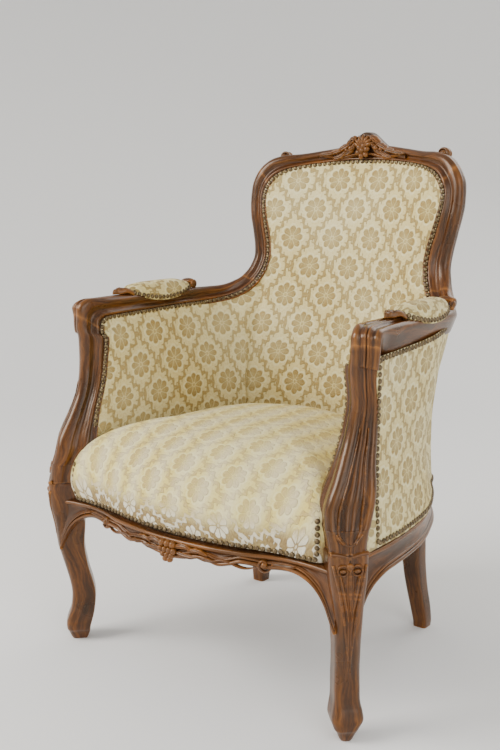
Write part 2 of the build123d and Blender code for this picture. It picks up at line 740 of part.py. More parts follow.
def pad_loft(shrink, lift, mode=Mode.ADD):
    """The armrest pad's loaf shape over its hollow, shrunk by a thickness."""
    sections = []
    for i, (y, x, width, height) in enumerate(PAD):
        y += shrink * 1.5 if i == 0 else 0
        y -= shrink * 1.5 if i == len(PAD) - 1 else 0
        half, top = width / 2 - shrink, height - shrink
        with BuildSketch(Plane((x, y, pad_foot(y) + lift), x_dir=(1, 0, 0), z_dir=(0, -1, 0))) as section:
            with BuildLine() as outline:
                Spline((-half, 0), (-half * 0.8, top * 0.72), (0, top), (half * 0.8, top * 0.72),
                       (half, 0))
                Line((-half, 0), (half, 0))
            make_face(outline.edges())
        sections.append(section.sketch.face())
    loft(sections, mode=mode)


with BuildPart() as armrest_cover:
    pad_loft(0, GAP)
    pad_loft(COVER, GAP - 0.01, mode=Mode.SUBTRACT)
    take_out(arm_rail)
finish_mirrored(armrest_cover, "armrest_cover")

with BuildPart() as armrest_padding:
    pad_loft(COVER + GAP, GAP)
    take_out(arm_rail)
finish_mirrored(armrest_padding, "armrest_padding")

# ---------------------------------------------------------------- close nailing
with BuildPart() as nail_head:
    with BuildSketch(Plane.XZ) as half_head:
        with BuildLine():
            ThreePointArc((0, NAIL_HEIGHT), (NAIL_RADIUS * 0.72, NAIL_HEIGHT * 0.7), (NAIL_RADIUS, 0))
            Polyline((NAIL_RADIUS, 0), (0, 0), (0, NAIL_HEIGHT))
        make_face()
    revolve(axis=Axis.Z)

ON_COVER = 0.05


def nails_on(cover, line, facing):
    """Planes for nail heads on a cover, below an even row along a line; facing is the way out."""
    planes = []
    for point, share in curve_points(line, NAIL_PITCH):
        out = Vector(*facing(share)).normalized()
        hits = cover.find_intersection_points(Axis(point, out))
        hits = [h for h in hits if (h[0] - point).length < 40]
        if hits:
            place, normal = max(hits, key=lambda h: (h[0] - point).dot(out))
            normal = normal if normal.dot(out) > 0 else -normal
            planes.append(Plane(place + normal * ON_COVER, z_dir=normal))
    return planes


def blend(start, end):
    """A direction that turns evenly from start to end along a row."""
    return lambda share: tuple(a + (b - a) * share for a, b in zip(start, end))


def put_nails(name, planes):
    """Writes one group of nails, each head a solid of its own."""
    with BuildPart() as group:
        with Locations(*planes):
            add(nail_head.part)
    finish(group, name)


CREST_NAILS = [nail for nail, _ in crest_stations]
back_planes = nails_on(back_cover.part, CREST_NAILS, blend((0, -1, 0.15), (0, -1, 0.15)))
stile_line = [nail for nail, _ in STILE[1:]]
stile_planes = nails_on(back_cover.part, [(208, 227, 893)] + stile_line[:-1] + [(202, 198, 706)],
                        blend((0, -1, 0.15), (0, -1, 0.15)))
arm_line = [(212, 190, 688), (243, 153, 662), (275, 75, 650), (283, -65, 647), (284, -165, 646)]
arm_planes = nails_on(inside_arm_cover.part, arm_line, blend((-0.7, -0.7, 0), (-1, 0, 0)))
post_line = [(287, -217, 636), (286, -212, 560), (284, -217, 500), (279, -217, 440)]
post_planes = nails_on(inside_arm_cover.part, post_line, blend((-1, 0, 0), (-1, 0, 0)))
right_planes = stile_planes + arm_planes + post_planes
put_nails("inside_nails", back_planes + right_planes + mirror_planes(right_planes))

SEAT_NAIL_Z = 309
front_row = [(x, y, SEAT_NAIL_Z) for x, y in SEAT_OUTLINE[:5]] + [(270, -284, SEAT_NAIL_Z)]
front_planes = nails_on(seat_cover.part, front_row, blend((0, -1, 0), (0.5, -0.86, 0)))
column = [(272, -284, SEAT_NAIL_Z + 10), (270, -282, 378)]
front_planes += nails_on(seat_cover.part, column, blend((0.5, -0.86, 0), (0.5, -0.86, 0)))
put_nails("seat_nails", front_planes + mirror_planes(front_planes))

outer_low = [(p[0] + unit(*n)[0] * low, p[1] + unit(*n)[1] * low, 331)
             for p, n, *_, low in TUB]
outer_top = [(p[0] + unit(*n)[0] * far, p[1] + unit(*n)[1] * far, top - 13)
             for p, n, _, top, _, far, _, _ in TUB]
outer_front = [(338, -214, 618), (338, -214, 540), (338, -214, 434), (340, -214, 345)]
outside = outside_arm_cover.part
outside_planes = nails_on(outside, outer_low, blend((1, 0, 0), (0.7, 0.7, 0)))
outside_planes += nails_on(outside, outer_top, blend((1, 0, 0), (0.7, 0.7, 0)))
outside_planes += nails_on(outside, outer_front, blend((1, 0, 0), (1, 0, 0)))
put_nails("outside_nails_right", outside_planes)
put_nails("outside_nails_left", mirror_planes(outside_planes))

rear_line = [(192, 240, 330), (192, 240, 690), (197, 240, 752), (204, 240, 803), (214, 250, 862),
             (208, 260, 905), (168, 280, 931), (92, 300, 943), (0, 320, 945)]
rear_planes = nails_on(outside_back_cover.part, rear_line, blend((0, 1, 0), (0, 1, 0)))
rail_planes = nails_on(outside_back_cover.part, [(-190, 225, 300), (190, 225, 300)],
                       blend((0, 1, 0), (0, 1, 0)))
put_nails("outside_back_nails", rear_planes + mirror_planes(rear_planes) + rail_planes)

pad_ring = [(x - width / 2, y, pad_foot(y) + NAIL_ROW_UP) for y, x, width, _ in PAD[1:-1]]
pad_ring_out = [(x + width / 2, y, pad_foot(y) + NAIL_ROW_UP) for y, x, width, _ in PAD[1:-1]]
pad_planes = nails_on(armrest_cover.part, pad_ring, blend((-1, 0, 0), (-1, 0, 0)))
pad_planes += nails_on(armrest_cover.part, pad_ring_out, blend((1, 0, 0), (1, 0, 0)))
put_nails("armrest_nails_right", pad_planes)
put_nails("armrest_nails_left", mirror_planes(pad_planes))
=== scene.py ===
"""Louis XV style tub armchair: carved walnut show-wood and cut velvet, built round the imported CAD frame.

Metres, in the CAD's frame: +Z up, the front faces -Y, the right half is +X and the left its mirror image.
"""

import json
from math import atan2, cos, hypot, pi, radians, sin

import bpy
import numpy as np
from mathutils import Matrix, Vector, noise


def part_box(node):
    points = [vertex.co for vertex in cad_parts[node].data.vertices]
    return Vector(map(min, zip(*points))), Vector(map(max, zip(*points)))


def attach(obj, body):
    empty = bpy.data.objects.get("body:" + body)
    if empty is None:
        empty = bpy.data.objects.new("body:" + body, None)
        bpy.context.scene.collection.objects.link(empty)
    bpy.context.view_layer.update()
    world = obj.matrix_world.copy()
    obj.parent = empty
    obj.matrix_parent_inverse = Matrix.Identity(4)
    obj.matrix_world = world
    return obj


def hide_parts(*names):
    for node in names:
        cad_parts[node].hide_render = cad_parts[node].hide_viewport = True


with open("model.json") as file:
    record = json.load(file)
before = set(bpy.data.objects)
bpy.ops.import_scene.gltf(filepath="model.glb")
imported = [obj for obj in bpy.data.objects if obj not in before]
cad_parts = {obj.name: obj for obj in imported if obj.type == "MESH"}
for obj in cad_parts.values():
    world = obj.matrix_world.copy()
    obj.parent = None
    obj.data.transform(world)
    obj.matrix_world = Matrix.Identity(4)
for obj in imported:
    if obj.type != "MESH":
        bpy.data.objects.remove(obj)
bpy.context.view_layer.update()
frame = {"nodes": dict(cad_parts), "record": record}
BODY = "root"
MM = 0.001

# ------------------------------------------------------------------ stations shared with the CAD
CREST = [
    ((0, 295, 949), (0, 301, 985)), ((50, 291, 948), (50, 297, 983)),
    ((100, 281, 944), (102, 287, 976)), ((140, 267, 939), (145, 273, 970)),
    ((168, 254, 932), (180, 261, 968)), ((190, 244, 921), (212, 250, 959)),
    ((205, 236, 905), (235, 242, 940)),
]
STILE = [
    ((205, 236, 905), (235, 242, 940)), ((213, 232, 885), (251, 237, 911)),
    ((213, 227, 862), (256, 233, 872)), ((208, 223, 835), (253, 229, 838)),
    ((200, 220, 803), (246, 228, 803)), ((193, 217, 775), (240, 226, 772)),
    ((191, 213, 752), (238, 223, 750)), ((193, 209, 735), (240, 218, 737)),
    ((197, 203, 718), (245, 211, 722)), ((207, 193, 698), (254, 197, 706)),
]
ARM = [
    ((207, 193, 698), (254, 197, 706)), ((223, 177, 678), (264, 181, 697)),
    ((243, 153, 664), (270, 160, 691)), ((262, 120, 656), (279, 124, 689)),
    ((275, 75, 652), (286, 77, 688)), ((281, 5, 650), (288, 5, 687)),
    ((284, -65, 648), (290, -65, 687)), ((285, -150, 646), (291, -150, 687)),
    ((288, -205, 646), (294, -205, 687)), ((291, -236, 645), (298, -236, 685)),
]
# height, centre x, centre y, width across the corner, width along it
LEG = [
    (0, 316, -254, 18, 28), (5, 316, -254, 24, 34), (15, 316, -254, 32, 41), (27, 317, -255, 45, 47),
    (38, 317, -253, 53, 50), (50, 315, -250, 50, 50), (65, 312, -247, 44, 48), (90, 310, -245, 43, 47),
    (120, 311, -247, 42, 46), (160, 317, -256, 43, 45), (200, 321, -263, 46, 50),
    (245, 321, -265, 51, 58), (285, 323, -270, 60, 63), (315, 323, -272, 64, 64),
    (338, 322, -271, 62, 62),
]
POST = [
    (325, 323, -272, 62, 58), (345, 321, -271, 62, 60), (362, 319, -269, 67, 62),
    (380, 315, -262, 74, 66), (400, 311, -254, 79, 73), (420, 311, -247, 76, 74),
    (440, 311, -239, 69, 68), (460, 310, -231, 62, 61), (480, 309, -223, 57, 56),
    (500, 308, -215, 53, 54), (530, 307, -207, 48, 54), (560, 307, -203, 45, 55),
    (600, 304, -203, 46, 59), (630, 305, -207, 48, 63), (652, 306, -210, 50, 66),
]
REAR_LEG = [
    (0, 209, 217, 29, 30), (12, 209, 217, 31, 32), (40, 206, 214, 34, 35), (90, 198, 209, 36, 38),
    (140, 192, 207, 39, 41), (200, 189, 207, 42, 42), (260, 190, 205, 43, 42), (322, 192, 203, 43, 40),
]
FRONT_RAIL = [(0, -333), (45, -331), (90, -326), (125, -319), (150, -313), (180, -302), (205, -294),
              (235, -289), (262, -289), (296, -293), (318, -297)]
SIDE_RAIL = [(341, -262), (343, -240), (346, -190), (345, -140), (340, -85), (333, -40), (321, 5), (305, 50),
             (289, 90), (268, 130), (247, 163), (226, 196)]


def mm(points):
    """Station numbers in metres."""
    return np.array(points, float) * MM


# ------------------------------------------------------------------ curves and meshes
def curve(points, count):
    """A smooth line through points: cubic through them, spaced by their distances."""
    p = np.array(points, float)
    flat = p.reshape(len(p), -1)
    step = np.maximum(np.linalg.norm(np.diff(flat, axis=0), axis=1) ** 0.5, 1e-6)
    t = np.concatenate([[0], np.cumsum(step)])
    slope = np.gradient(flat, t, axis=0)
    at = np.linspace(0, t[-1], count)
    k = np.clip(np.searchsorted(t, at, side="right") - 1, 0, len(t) - 2)
    h = (t[k + 1] - t[k])[:, None]
    s = ((at - t[k]) / h[:, 0])[:, None]
    value = ((2 * s**3 - 3 * s**2 + 1) * flat[k] + (s**3 - 2 * s**2 + s) * h * slope[k]
             + (3 * s**2 - 2 * s**3) * flat[k + 1] + (s**3 - s**2) * h * slope[k + 1])
    return value.reshape(count, *p.shape[1:])


def even(points, spacing):
    """The same line with its points evenly spaced."""
    run = np.concatenate([[0], np.cumsum(np.linalg.norm(np.diff(points, axis=0), axis=1))])
    count = max(2, int(round(run[-1] / spacing)) + 1)
    at = np.linspace(0, run[-1], count)
    return np.stack([np.interp(at, run, points[:, i]) for i in range(points.shape[1])], axis=1)


def make_piece(name, verts, faces, material, uv=None, replaced=(), smooth=True):
    """A mesh piece that rides on the chair. uv is one pair per vertex."""
    mesh = bpy.data.meshes.new(name)
    mesh.from_pydata([tuple(v) for v in verts], [], faces)
    mesh.update()
    if uv is not None:
        layer = mesh.uv_layers.new(name="run")
        index = np.zeros(len(mesh.loops), int)
        mesh.loops.foreach_get("vertex_index", index)
        layer.data.foreach_set("uv", np.asarray(uv, float)[index].ravel())
    if smooth:
        mesh.polygons.foreach_set("use_smooth", [True] * len(mesh.polygons))
    mesh.materials.append(material)
    piece = bpy.data.objects.new(name, mesh)
    bpy.context.scene.collection.objects.link(piece)
    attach(piece, BODY)
    if replaced:
        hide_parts(*replaced)
    return piece


def grid_faces(rows, cols, wrap=False, start=0):
    """Quads of a grid of vertices; wrap joins the last column to the first."""
    last = cols if wrap else cols - 1
    return [(start + r * cols + c, start + r * cols + (c + 1) % cols,
             start + (r + 1) * cols + (c + 1) % cols, start + (r + 1) * cols + c)
            for r in range(rows - 1) for c in range(last)]


def outward(verts, faces):
    """The faces of a closed solid, turned so that they point out of it."""
    verts = np.asarray(verts, float)
    fans = np.array([(f[0], f[k], f[k + 1]) for f in faces for k in range(1, len(f) - 1)])
    a, b, c = (verts[fans[:, k]] for k in range(3))
    volume = np.einsum("ij,ij->i", a, np.cross(b, c)).sum()
    return faces if volume > 0 else [f[::-1] for f in faces]


def loft_piece(name, rings, material, replaced=()):
    """A closed solid through rings of points, capped at both ends."""
    rings = np.asarray(rings, float)
    rows, cols = rings.shape[:2]
    verts = rings.reshape(-1, 3)
    faces = grid_faces(rows, cols, wrap=True)
    faces.append(tuple(range(cols))[::-1])
    faces.append(tuple((rows - 1) * cols + c for c in range(cols)))
    faces = outward(verts, faces)
    run = np.concatenate([[0], np.cumsum(np.linalg.norm(np.diff(rings.mean(1), axis=0), axis=1))])
    around = np.concatenate([[0], np.cumsum(np.linalg.norm(np.diff(rings[rows // 2], axis=0), axis=1))])
    uv = np.stack([np.repeat(run, cols), np.tile(around, rows)], axis=1)
    piece = make_piece(name, verts, faces, material, uv, replaced)
    sharp_rims(piece.data)
    return piece


def sharp_rims(mesh):
    """Keeps the shading of a solid's flat ends apart from that of its sides."""
    rims = {tuple(sorted(key)) for face in mesh.polygons if len(face.vertices) > 4 for key in face.edge_keys}
    mesh.attributes.new("sharp_edge", "BOOLEAN", "EDGE")
    mesh.attributes["sharp_edge"].data.foreach_set(
        "value", [tuple(sorted(edge.vertices)) in rims for edge in mesh.edges])


# ------------------------------------------------------------------ materials
def node_material(name):
    """An empty node material with its Principled shader."""
    material = bpy.data.materials.new(name)
    material.use_nodes = True
    tree = material.node_tree
    return material, tree, tree.nodes["Principled BSDF"]


def add_node(tree, kind, settings=None, **inputs):
    """A node with its settings and inputs; an input is a value or an output socket to link."""
    node = tree.nodes.new(kind)
    for key, value in (settings or {}).items():
        setattr(node, key, value)
    for key, value in inputs.items():
        socket = node.inputs[int(key[1:])] if key[0] == "i" and key[1:].isdigit() else node.inputs[key]
        if isinstance(value, bpy.types.NodeSocket):
            tree.links.new(value, socket)
        else:
            socket.default_value = value
    return node


def math(tree, operation, a, b=None, c=None):
    """The output of a Math node."""
    inputs = {"i0": a}
    if b is not None:
        inputs["i1"] = b
    if c is not None:
        inputs["i2"] = c
    return add_node(tree, "ShaderNodeMath", {"operation": operation}, **inputs).outputs[0]


def ramp(tree, value, stops):
    """A colour ramp through (position, colour) stops."""
    node = add_node(tree, "ShaderNodeValToRGB", i0=value)
    elements = node.color_ramp.elements
    while len(elements) < len(stops):
        elements.new(0.5)
    for element, (position, colour) in zip(elements, stops):
        element.position = position
        element.color = (*colour, 1) if len(colour) == 3 else colour
    return node.outputs["Color"]


def mix(tree, share, a, b, blend="MIX"):
    """The colour output of a Mix node."""
    node = add_node(tree, "ShaderNodeMix", {"data_type": "RGBA", "blend_type": blend})
    for socket, value in (("Factor_Float", share), ("A_Color", a), ("B_Color", b)):
        target = next(s for s in node.inputs if s.identifier == socket)
        if isinstance(value, bpy.types.NodeSocket):
            tree.links.new(value, target)
        else:
            target.default_value = value if isinstance(value, float) else (*value, 1)
    return next(s for s in node.outputs if s.identifier == "Result_Color")


def grey(value):
    """A grey colour."""
    return (value, value, value)


def walnut():
    """Stained walnut: grain along the piece, dark glaze and painted shade in the hollows, worn ridges with a painted
    highlight, waxed gloss.
    """
    material, tree, shader = node_material("walnut_show_wood")
    uv = add_node(tree, "ShaderNodeUVMap", {"uv_map": "run"}).outputs[0]
    stretch = add_node(tree, "ShaderNodeMapping", i0=uv)
    stretch.inputs["Scale"].default_value = (5, 70, 1)
    warp = add_node(tree, "ShaderNodeTexNoise", Vector=uv, Scale=14.0, Detail=3.0)
    bent = add_node(tree, "ShaderNodeVectorMath", {"operation": "MULTIPLY_ADD"}, i0=warp.outputs["Color"],
                    i1=(0.5, 2.5, 0), i2=stretch.outputs[0]).outputs[0]
    grain = add_node(tree, "ShaderNodeTexNoise", Vector=bent, Scale=1.6, Detail=7.0, Roughness=0.62)
    place = add_node(tree, "ShaderNodeTexCoord").outputs["Object"]
    pores = add_node(tree, "ShaderNodeMapping", i0=uv)
    pores.inputs["Scale"].default_value = (70, 1100, 1)
    pore = add_node(tree, "ShaderNodeTexNoise", Vector=pores.outputs[0], Scale=1.0, Detail=2.0)
    cloud = add_node(tree, "ShaderNodeTexNoise", Vector=place, Scale=9.0, Detail=4.0)
    wood = ramp(tree, grain.outputs["Fac"], [(0.26, (0.020, 0.006, 0.002)), (0.46, (0.060, 0.018, 0.004)),
                                             (0.58, (0.145, 0.048, 0.008)), (0.78, (0.32, 0.120, 0.018))])
    shade = ramp(tree, cloud.outputs["Fac"], [(0.3, grey(0.48)), (0.7, grey(1.06))])
    wood = mix(tree, 1.0, wood, shade, "MULTIPLY")
    dots = ramp(tree, pore.outputs["Fac"], [(0.34, grey(0.45)), (0.46, grey(1.0))])
    wood = mix(tree, 0.8, wood, dots, "MULTIPLY")
    edge = add_node(tree, "ShaderNodeNewGeometry").outputs["Pointiness"]
    # dark glaze in the hollows, together with painted shade: the hollows are darkened in the colour where shade falls
    hollow = ramp(tree, edge, [(0.42, grey(1.0)), (0.497, grey(0.0))])
    glaze_and_painted_shade = add_node(tree, "ShaderNodeSeparateColor", i0=hollow).outputs[0]
    wood = mix(tree, math(tree, "MULTIPLY", glaze_and_painted_shade, 0.86), wood, (0.012, 0.005, 0.003))
    # lighter, more orange ridges: rubbed wear together with a painted highlight
    ridge = ramp(tree, edge, [(0.51, grey(0.0)), (0.60, grey(1.0))])
    worn = add_node(tree, "ShaderNodeSeparateColor", i0=ridge).outputs[0]
    wood = mix(tree, math(tree, "MULTIPLY", worn, 0.55), wood, (0.48, 0.20, 0.045))
    tree.links.new(wood, shader.inputs["Base Color"])
    rough = math(tree, "MULTIPLY_ADD", cloud.outputs["Fac"], 0.22, 0.18)
    rough = math(tree, "MULTIPLY_ADD", glaze_and_painted_shade, 0.25, rough)
    tree.links.new(rough, shader.inputs["Roughness"])
    shader.inputs["Coat Weight"].default_value = 0.30
    shader.inputs["Coat Tint"].default_value = (1.0, 0.86, 0.68, 1)
    shader.inputs["Specular Tint"].default_value = (1.0, 0.84, 0.66, 1)
    shader.inputs["Specular IOR Level"].default_value = 0.38
    shader.inputs["Coat Roughness"].default_value = 0.18
    height = math(tree, "MULTIPLY_ADD", pore.outputs["Fac"], 0.5, math(tree, "MULTIPLY", grain.outputs["Fac"], 0.5))
    bump = add_node(tree, "ShaderNodeBump", Height=height, Strength=0.28, Distance=0.0007)
    tree.links.new(bump.outputs[0], shader.inputs["Normal"])
    return material


# velvet figure: staggered rows of daisies in a net of scrolling stems
REPEAT_WIDE, REPEAT_HIGH = 0.096, 0.122
FLOWER = 0.0245


def velvet(name, ground, tint, light, worn=False):
    """Cut velvet: gold daisies in staggered rows on an ivory ground, in a net of scrolling stems; light is the colour
    of the highlight painted round each flower.
    """
    material, tree, shader = node_material(name)
    uv = add_node(tree, "ShaderNodeUVMap", {"uv_map": "run"}).outputs[0]
    wander = add_node(tree, "ShaderNodeTexNoise", Vector=uv, Scale=34.0, Detail=3.0)
    shifted = add_node(tree, "ShaderNodeVectorMath", {"operation": "MULTIPLY_ADD"}, i0=wander.outputs["Color"],
                       i1=(0.007, 0.007, 0), i2=uv).outputs[0]
    axes = add_node(tree, "ShaderNodeSeparateXYZ", i0=shifted)

    def soft_step(value, edge, width):
        """1 below the edge, 0 above it."""
        return add_node(tree, "ShaderNodeMapRange", {"interpolation_type": "SMOOTHSTEP"}, Value=value,
                        i1=edge - width, i2=edge + width, i3=1.0, i4=0.0).outputs[0]

    def wave(value, count):
        """Sine of so many turns to the repeat."""
        return math(tree, "SINE", math(tree, "MULTIPLY", value, 2 * pi * count))

    flower, painted_outline_highlight = None, None
    for offset in (0.0, 0.5):
        x = math(tree, "WRAP", math(tree, "ADD", axes.outputs[0], offset * REPEAT_WIDE),
                 REPEAT_WIDE / 2, -REPEAT_WIDE / 2)
        y = math(tree, "WRAP", math(tree, "ADD", axes.outputs[1], offset * REPEAT_HIGH),
                 REPEAT_HIGH / 2, -REPEAT_HIGH / 2)
        far = math(tree, "SQRT", math(tree, "MULTIPLY_ADD", x, x, math(tree, "MULTIPLY", y, y)))
        angle = math(tree, "ARCTAN2", y, x)
        petal = math(tree, "ABSOLUTE", math(tree, "COSINE", math(tree, "MULTIPLY", angle, 4.0)))
        reach = math(tree, "MULTIPLY_ADD", math(tree, "POWER", petal, 0.6), FLOWER * 0.34, FLOWER * 0.66)
        over = math(tree, "SUBTRACT", far, reach)
        body = soft_step(over, 0.0, 0.0012)
        split = soft_step(math(tree, "MULTIPLY", petal, far), 0.0034, 0.0014)
        heart = soft_step(math(tree, "ABSOLUTE", math(tree, "SUBTRACT", far, FLOWER * 0.17)), 0.0014, 0.0007)
        cut = math(tree, "MAXIMUM", heart, math(tree, "MULTIPLY", split, math(
            tree, "SUBTRACT", 1.0, soft_step(far, FLOWER * 0.2, 0.001))))
        one = math(tree, "MULTIPLY", body, math(tree, "SUBTRACT", 1.0, math(tree, "MULTIPLY", cut, 0.92)))
        tips = math(tree, "MULTIPLY_ADD", math(tree, "DIVIDE", far, FLOWER), 0.45, 0.6)
        one = math(tree, "MULTIPLY", one, tips)
        # a pale rim just outside each flower: a painted highlight on the raised pile's edge
        highlight_rim = soft_step(math(tree, "ABSOLUTE", math(tree, "SUBTRACT", over, 0.0035)), 0.0020, 0.0012)
        flower = one if flower is None else math(tree, "MAXIMUM", flower, one)
        painted_outline_highlight = highlight_rim if painted_outline_highlight is None else math(tree, "MAXIMUM", painted_outline_highlight, highlight_rim)
    # the net: stems that scroll from side to side of the diagonals, with leaves on them
    slant = math(tree, "DIVIDE", axes.outputs[0], REPEAT_WIDE)
    rise = math(tree, "DIVIDE", axes.outputs[1], REPEAT_HIGH)
    along = math(tree, "ADD", slant, rise)
    across = math(tree, "SUBTRACT", slant, rise)
    net = None
    for first, second in ((along, across), (across, along)):
        sway = math(tree, "MULTIPLY", wave(second, 3), 0.050)
        line = math(tree, "WRAP", math(tree, "ADD", math(tree, "ADD", first, 0.5), sway), 0.5, -0.5)
        thick = math(tree, "MULTIPLY_ADD", wave(math(tree, "ADD", second, 0.08), 6), 0.024, 0.052)
        line = soft_step(math(tree, "SUBTRACT", math(tree, "ABSOLUTE", line), thick), 0.0, 0.012)
        leaf = math(tree, "WRAP", math(tree, "SUBTRACT", math(tree, "ADD", first, 0.5),
                                       math(tree, "MULTIPLY", sway, 1.6)), 0.5, -0.5)
        leaf = soft_step(math(tree, "ABSOLUTE", leaf), 0.016, 0.012)
        leaf = math(tree, "MULTIPLY", leaf, soft_step(wave(second, 6), -0.1, 0.3))
        both = math(tree, "MAXIMUM", line, leaf)
        net = both if net is None else math(tree, "MAXIMUM", net, both)
    net = math(tree, "MULTIPLY", net, math(tree, "SUBTRACT", 1.0, painted_outline_highlight))
    figure = math(tree, "MAXIMUM", flower, math(tree, "MULTIPLY", net, 0.92))
    # the pile breaks up at a fine scale
    pile = add_node(tree, "ShaderNodeTexNoise", Vector=uv, Scale=1500.0, Detail=2.0)
    mottled = add_node(tree, "ShaderNodeTexNoise", Vector=uv, Scale=230.0, Detail=3.0)
    broken = add_node(tree, "ShaderNodeMapRange", Value=mottled.outputs["Fac"], i1=0.36, i2=0.56,
                      i3=0.55, i4=1.0).outputs[0]
    figure = math(tree, "MULTIPLY", figure, broken)
    fade = add_node(tree, "ShaderNodeTexNoise", Vector=uv, Scale=4.5, Detail=3.0)
    faded = add_node(tree, "ShaderNodeMapRange", Value=fade.outputs["Fac"], i1=0.36, i2=0.66,
                     i3=1.0, i4=0.74).outputs[0]
    figure = math(tree, "MULTIPLY", figure, faded)
    warm = ramp(tree, fade.outputs["Fac"], [(0.35, ground[0]), (0.62, ground[1])])
    base = mix(tree, math(tree, "MULTIPLY", math(tree, "SUBTRACT", 1.0, broken), 0.8), warm, ground[2])
    gold = ramp(tree, mottled.outputs["Fac"], [(0.32, tint[0]), (0.68, tint[1])])
    colour = mix(tree, figure, base, gold)
    # the painted highlight round the flowers, in the light colour
    colour = mix(tree, math(tree, "MULTIPLY", painted_outline_highlight, 0.55), colour, light)
    if worn:
        # stripes of flattened pile between the rows, and the unfaded turned edge by the nails
        stripe = math(tree, "MULTIPLY_ADD", wave(rise, 2), 0.5, 0.5)
        colour = mix(tree, math(tree, "MULTIPLY", stripe, 0.42), colour, (0.86, 0.82, 0.62))
        where = add_node(tree, "ShaderNodeAttribute", {"attribute_name": "wear"}).outputs["Fac"]
        tan = ramp(tree, mottled.outputs["Fac"], [(0.3, (0.20, 0.125, 0.045)), (0.7, (0.43, 0.31, 0.13))])
        white = mix(tree, math(tree, "MAXIMUM", flower, math(tree, "MULTIPLY", net, 0.8)), tan, (0.88, 0.82, 0.64))
        colour = mix(tree, where, white, colour)
    tree.links.new(colour, shader.inputs["Base Color"])
    tree.links.new(math(tree, "MULTIPLY_ADD", figure, -0.15, 0.86), shader.inputs["Roughness"])
    shader.inputs["Sheen Weight"].default_value = 0.12
    shader.inputs["Sheen Roughness"].default_value = 0.35
    shader.inputs["Sheen Tint"].default_value = (1.0, 0.94, 0.78, 1)
    height = math(tree, "MULTIPLY_ADD", pile.outputs["Fac"], 0.22, math(tree, "MULTIPLY", figure, 0.9))
    bump = add_node(tree, "ShaderNodeBump", Height=height, Strength=0.9, Distance=0.0026)
    tree.links.new(bump.outputs[0], shader.inputs["Normal"])
    return material


def antique_brass():
    """Nail heads: dull dark brass, brighter in random spots."""
    material, tree, shader = node_material("antique_brass_nails")
    place = add_node(tree, "ShaderNodeTexCoord").outputs["Object"]
    spots = add_node(tree, "ShaderNodeTexNoise", Vector=place, Scale=260.0, Detail=3.0)
    tone = ramp(tree, spots.outputs["Fac"], [(0.3, (0.045, 0.030, 0.018)), (0.7, (0.26, 0.19, 0.10))])
    tree.links.new(tone, shader.inputs["Base Color"])
    shader.inputs["Metallic"].default_value = 0.85
    rough = add_node(tree, "ShaderNodeMapRange", Value=spots.outputs["Fac"], i3=0.30, i4=0.55).outputs[0]
    tree.links.new(rough, shader.inputs["Roughness"])
    bump = add_node(tree, "ShaderNodeBump", Height=spots.outputs["Fac"], Strength=0.2, Distance=0.0004)
    tree.links.new(bump.outputs[0], shader.inputs["Normal"])
    return material


def plain_grained(name, dark, light, scale, roughness, metallic=0.0):
    """A simple grained finish for the hidden pieces."""
    material, tree, shader = node_material(name)
    place = add_node(tree, "ShaderNodeTexCoord").outputs["Object"]
    stretch = add_node(tree, "ShaderNodeMapping", i0=place)
    stretch.inputs["Scale"].default_value = scale
    grain = add_node(tree, "ShaderNodeTexNoise", Vector=stretch.outputs[0], Scale=1.0, Detail=5.0)
    tree.links.new(ramp(tree, grain.outputs["Fac"], [(0.32, dark), (0.68, light)]), shader.inputs["Base Color"])
    rough = add_node(tree, "ShaderNodeMapRange", Value=grain.outputs["Fac"], i3=roughness - 0.1,
                     i4=roughness + 0.1).outputs[0]
    tree.links.new(rough, shader.inputs["Roughness"])
    shader.inputs["Metallic"].default_value = metallic
    bump = add_node(tree, "ShaderNodeBump", Height=grain.outputs["Fac"], Strength=0.35, Distance=0.0006)
    tree.links.new(bump.outputs[0], shader.inputs["Normal"])
    return material


WALNUT = walnut()
IVORY = [(0.72, 0.59, 0.25), (0.79, 0.70, 0.39), (0.55, 0.42, 0.14)]
STRAW = [(0.76, 0.61, 0.17), (0.79, 0.67, 0.24), (0.56, 0.42, 0.10)]
# the last colour given to each velvet is that of the highlight painted round its flowers
VELVET = velvet("cut_velvet", IVORY, [(0.23, 0.135, 0.025), (0.40, 0.26, 0.065)], (0.84, 0.77, 0.46))
SEAT_VELVET = velvet("cut_velvet_worn", STRAW, [(0.42, 0.28, 0.08), (0.64, 0.48, 0.19)], (0.86, 0.78, 0.37), worn=True)
BRASS = antique_brass()
HIDDEN = {
    "beech": plain_grained("beech_frame", (0.36, 0.22, 0.11), (0.62, 0.44, 0.26), (12, 90, 90), 0.6),
    "jute": plain_grained("jute_web", (0.28, 0.19, 0.09), (0.56, 0.42, 0.24), (900, 900, 300), 0.9),
    "lining": plain_grained("black_lining", (0.012, 0.011, 0.010), (0.05, 0.045, 0.04), (700, 700, 200), 0.9),
    "stuffing": plain_grained("calico", (0.62, 0.56, 0.44), (0.84, 0.79, 0.66), (500, 500, 500), 0.9),
    "steel": plain_grained("spring_steel", (0.16, 0.15, 0.14), (0.42, 0.41, 0.39), (150, 150, 150), 0.4, 0.9),
    "walnut": WALNUT, "velvet": VELVET, "brass_nail": BRASS,
}

# ------------------------------------------------------------------ show-wood
DIAGONAL_OUT = np.array([1, -1, 0]) / 2**0.5      # right-hand legs and posts face this way
DIAGONAL_FACE = np.array([-1, -1, 0]) / 2**0.5
LAP = 4                                           # wood that runs on under the cover


def rail_station(pair, depth, face, side, radius):
    """A station of the chain: nail point, edge point, depth, lap, mouldings and corner radius."""
    return [*pair[0], *pair[1], depth, LAP, face, side, radius]


def corner_station(row, face, side, radius):
    """A station of the post or leg, whose section stands with its corner to the front."""
    z, x, y, across, along = row
    middle = np.array([x, y, z]) + DIAGONAL_FACE * across / 2
    edge = middle + DIAGONAL_OUT * along / 2
    nail = middle - DIAGONAL_OUT * (along / 2 - LAP)
    return [*nail, *edge, across, LAP, face, side, radius]


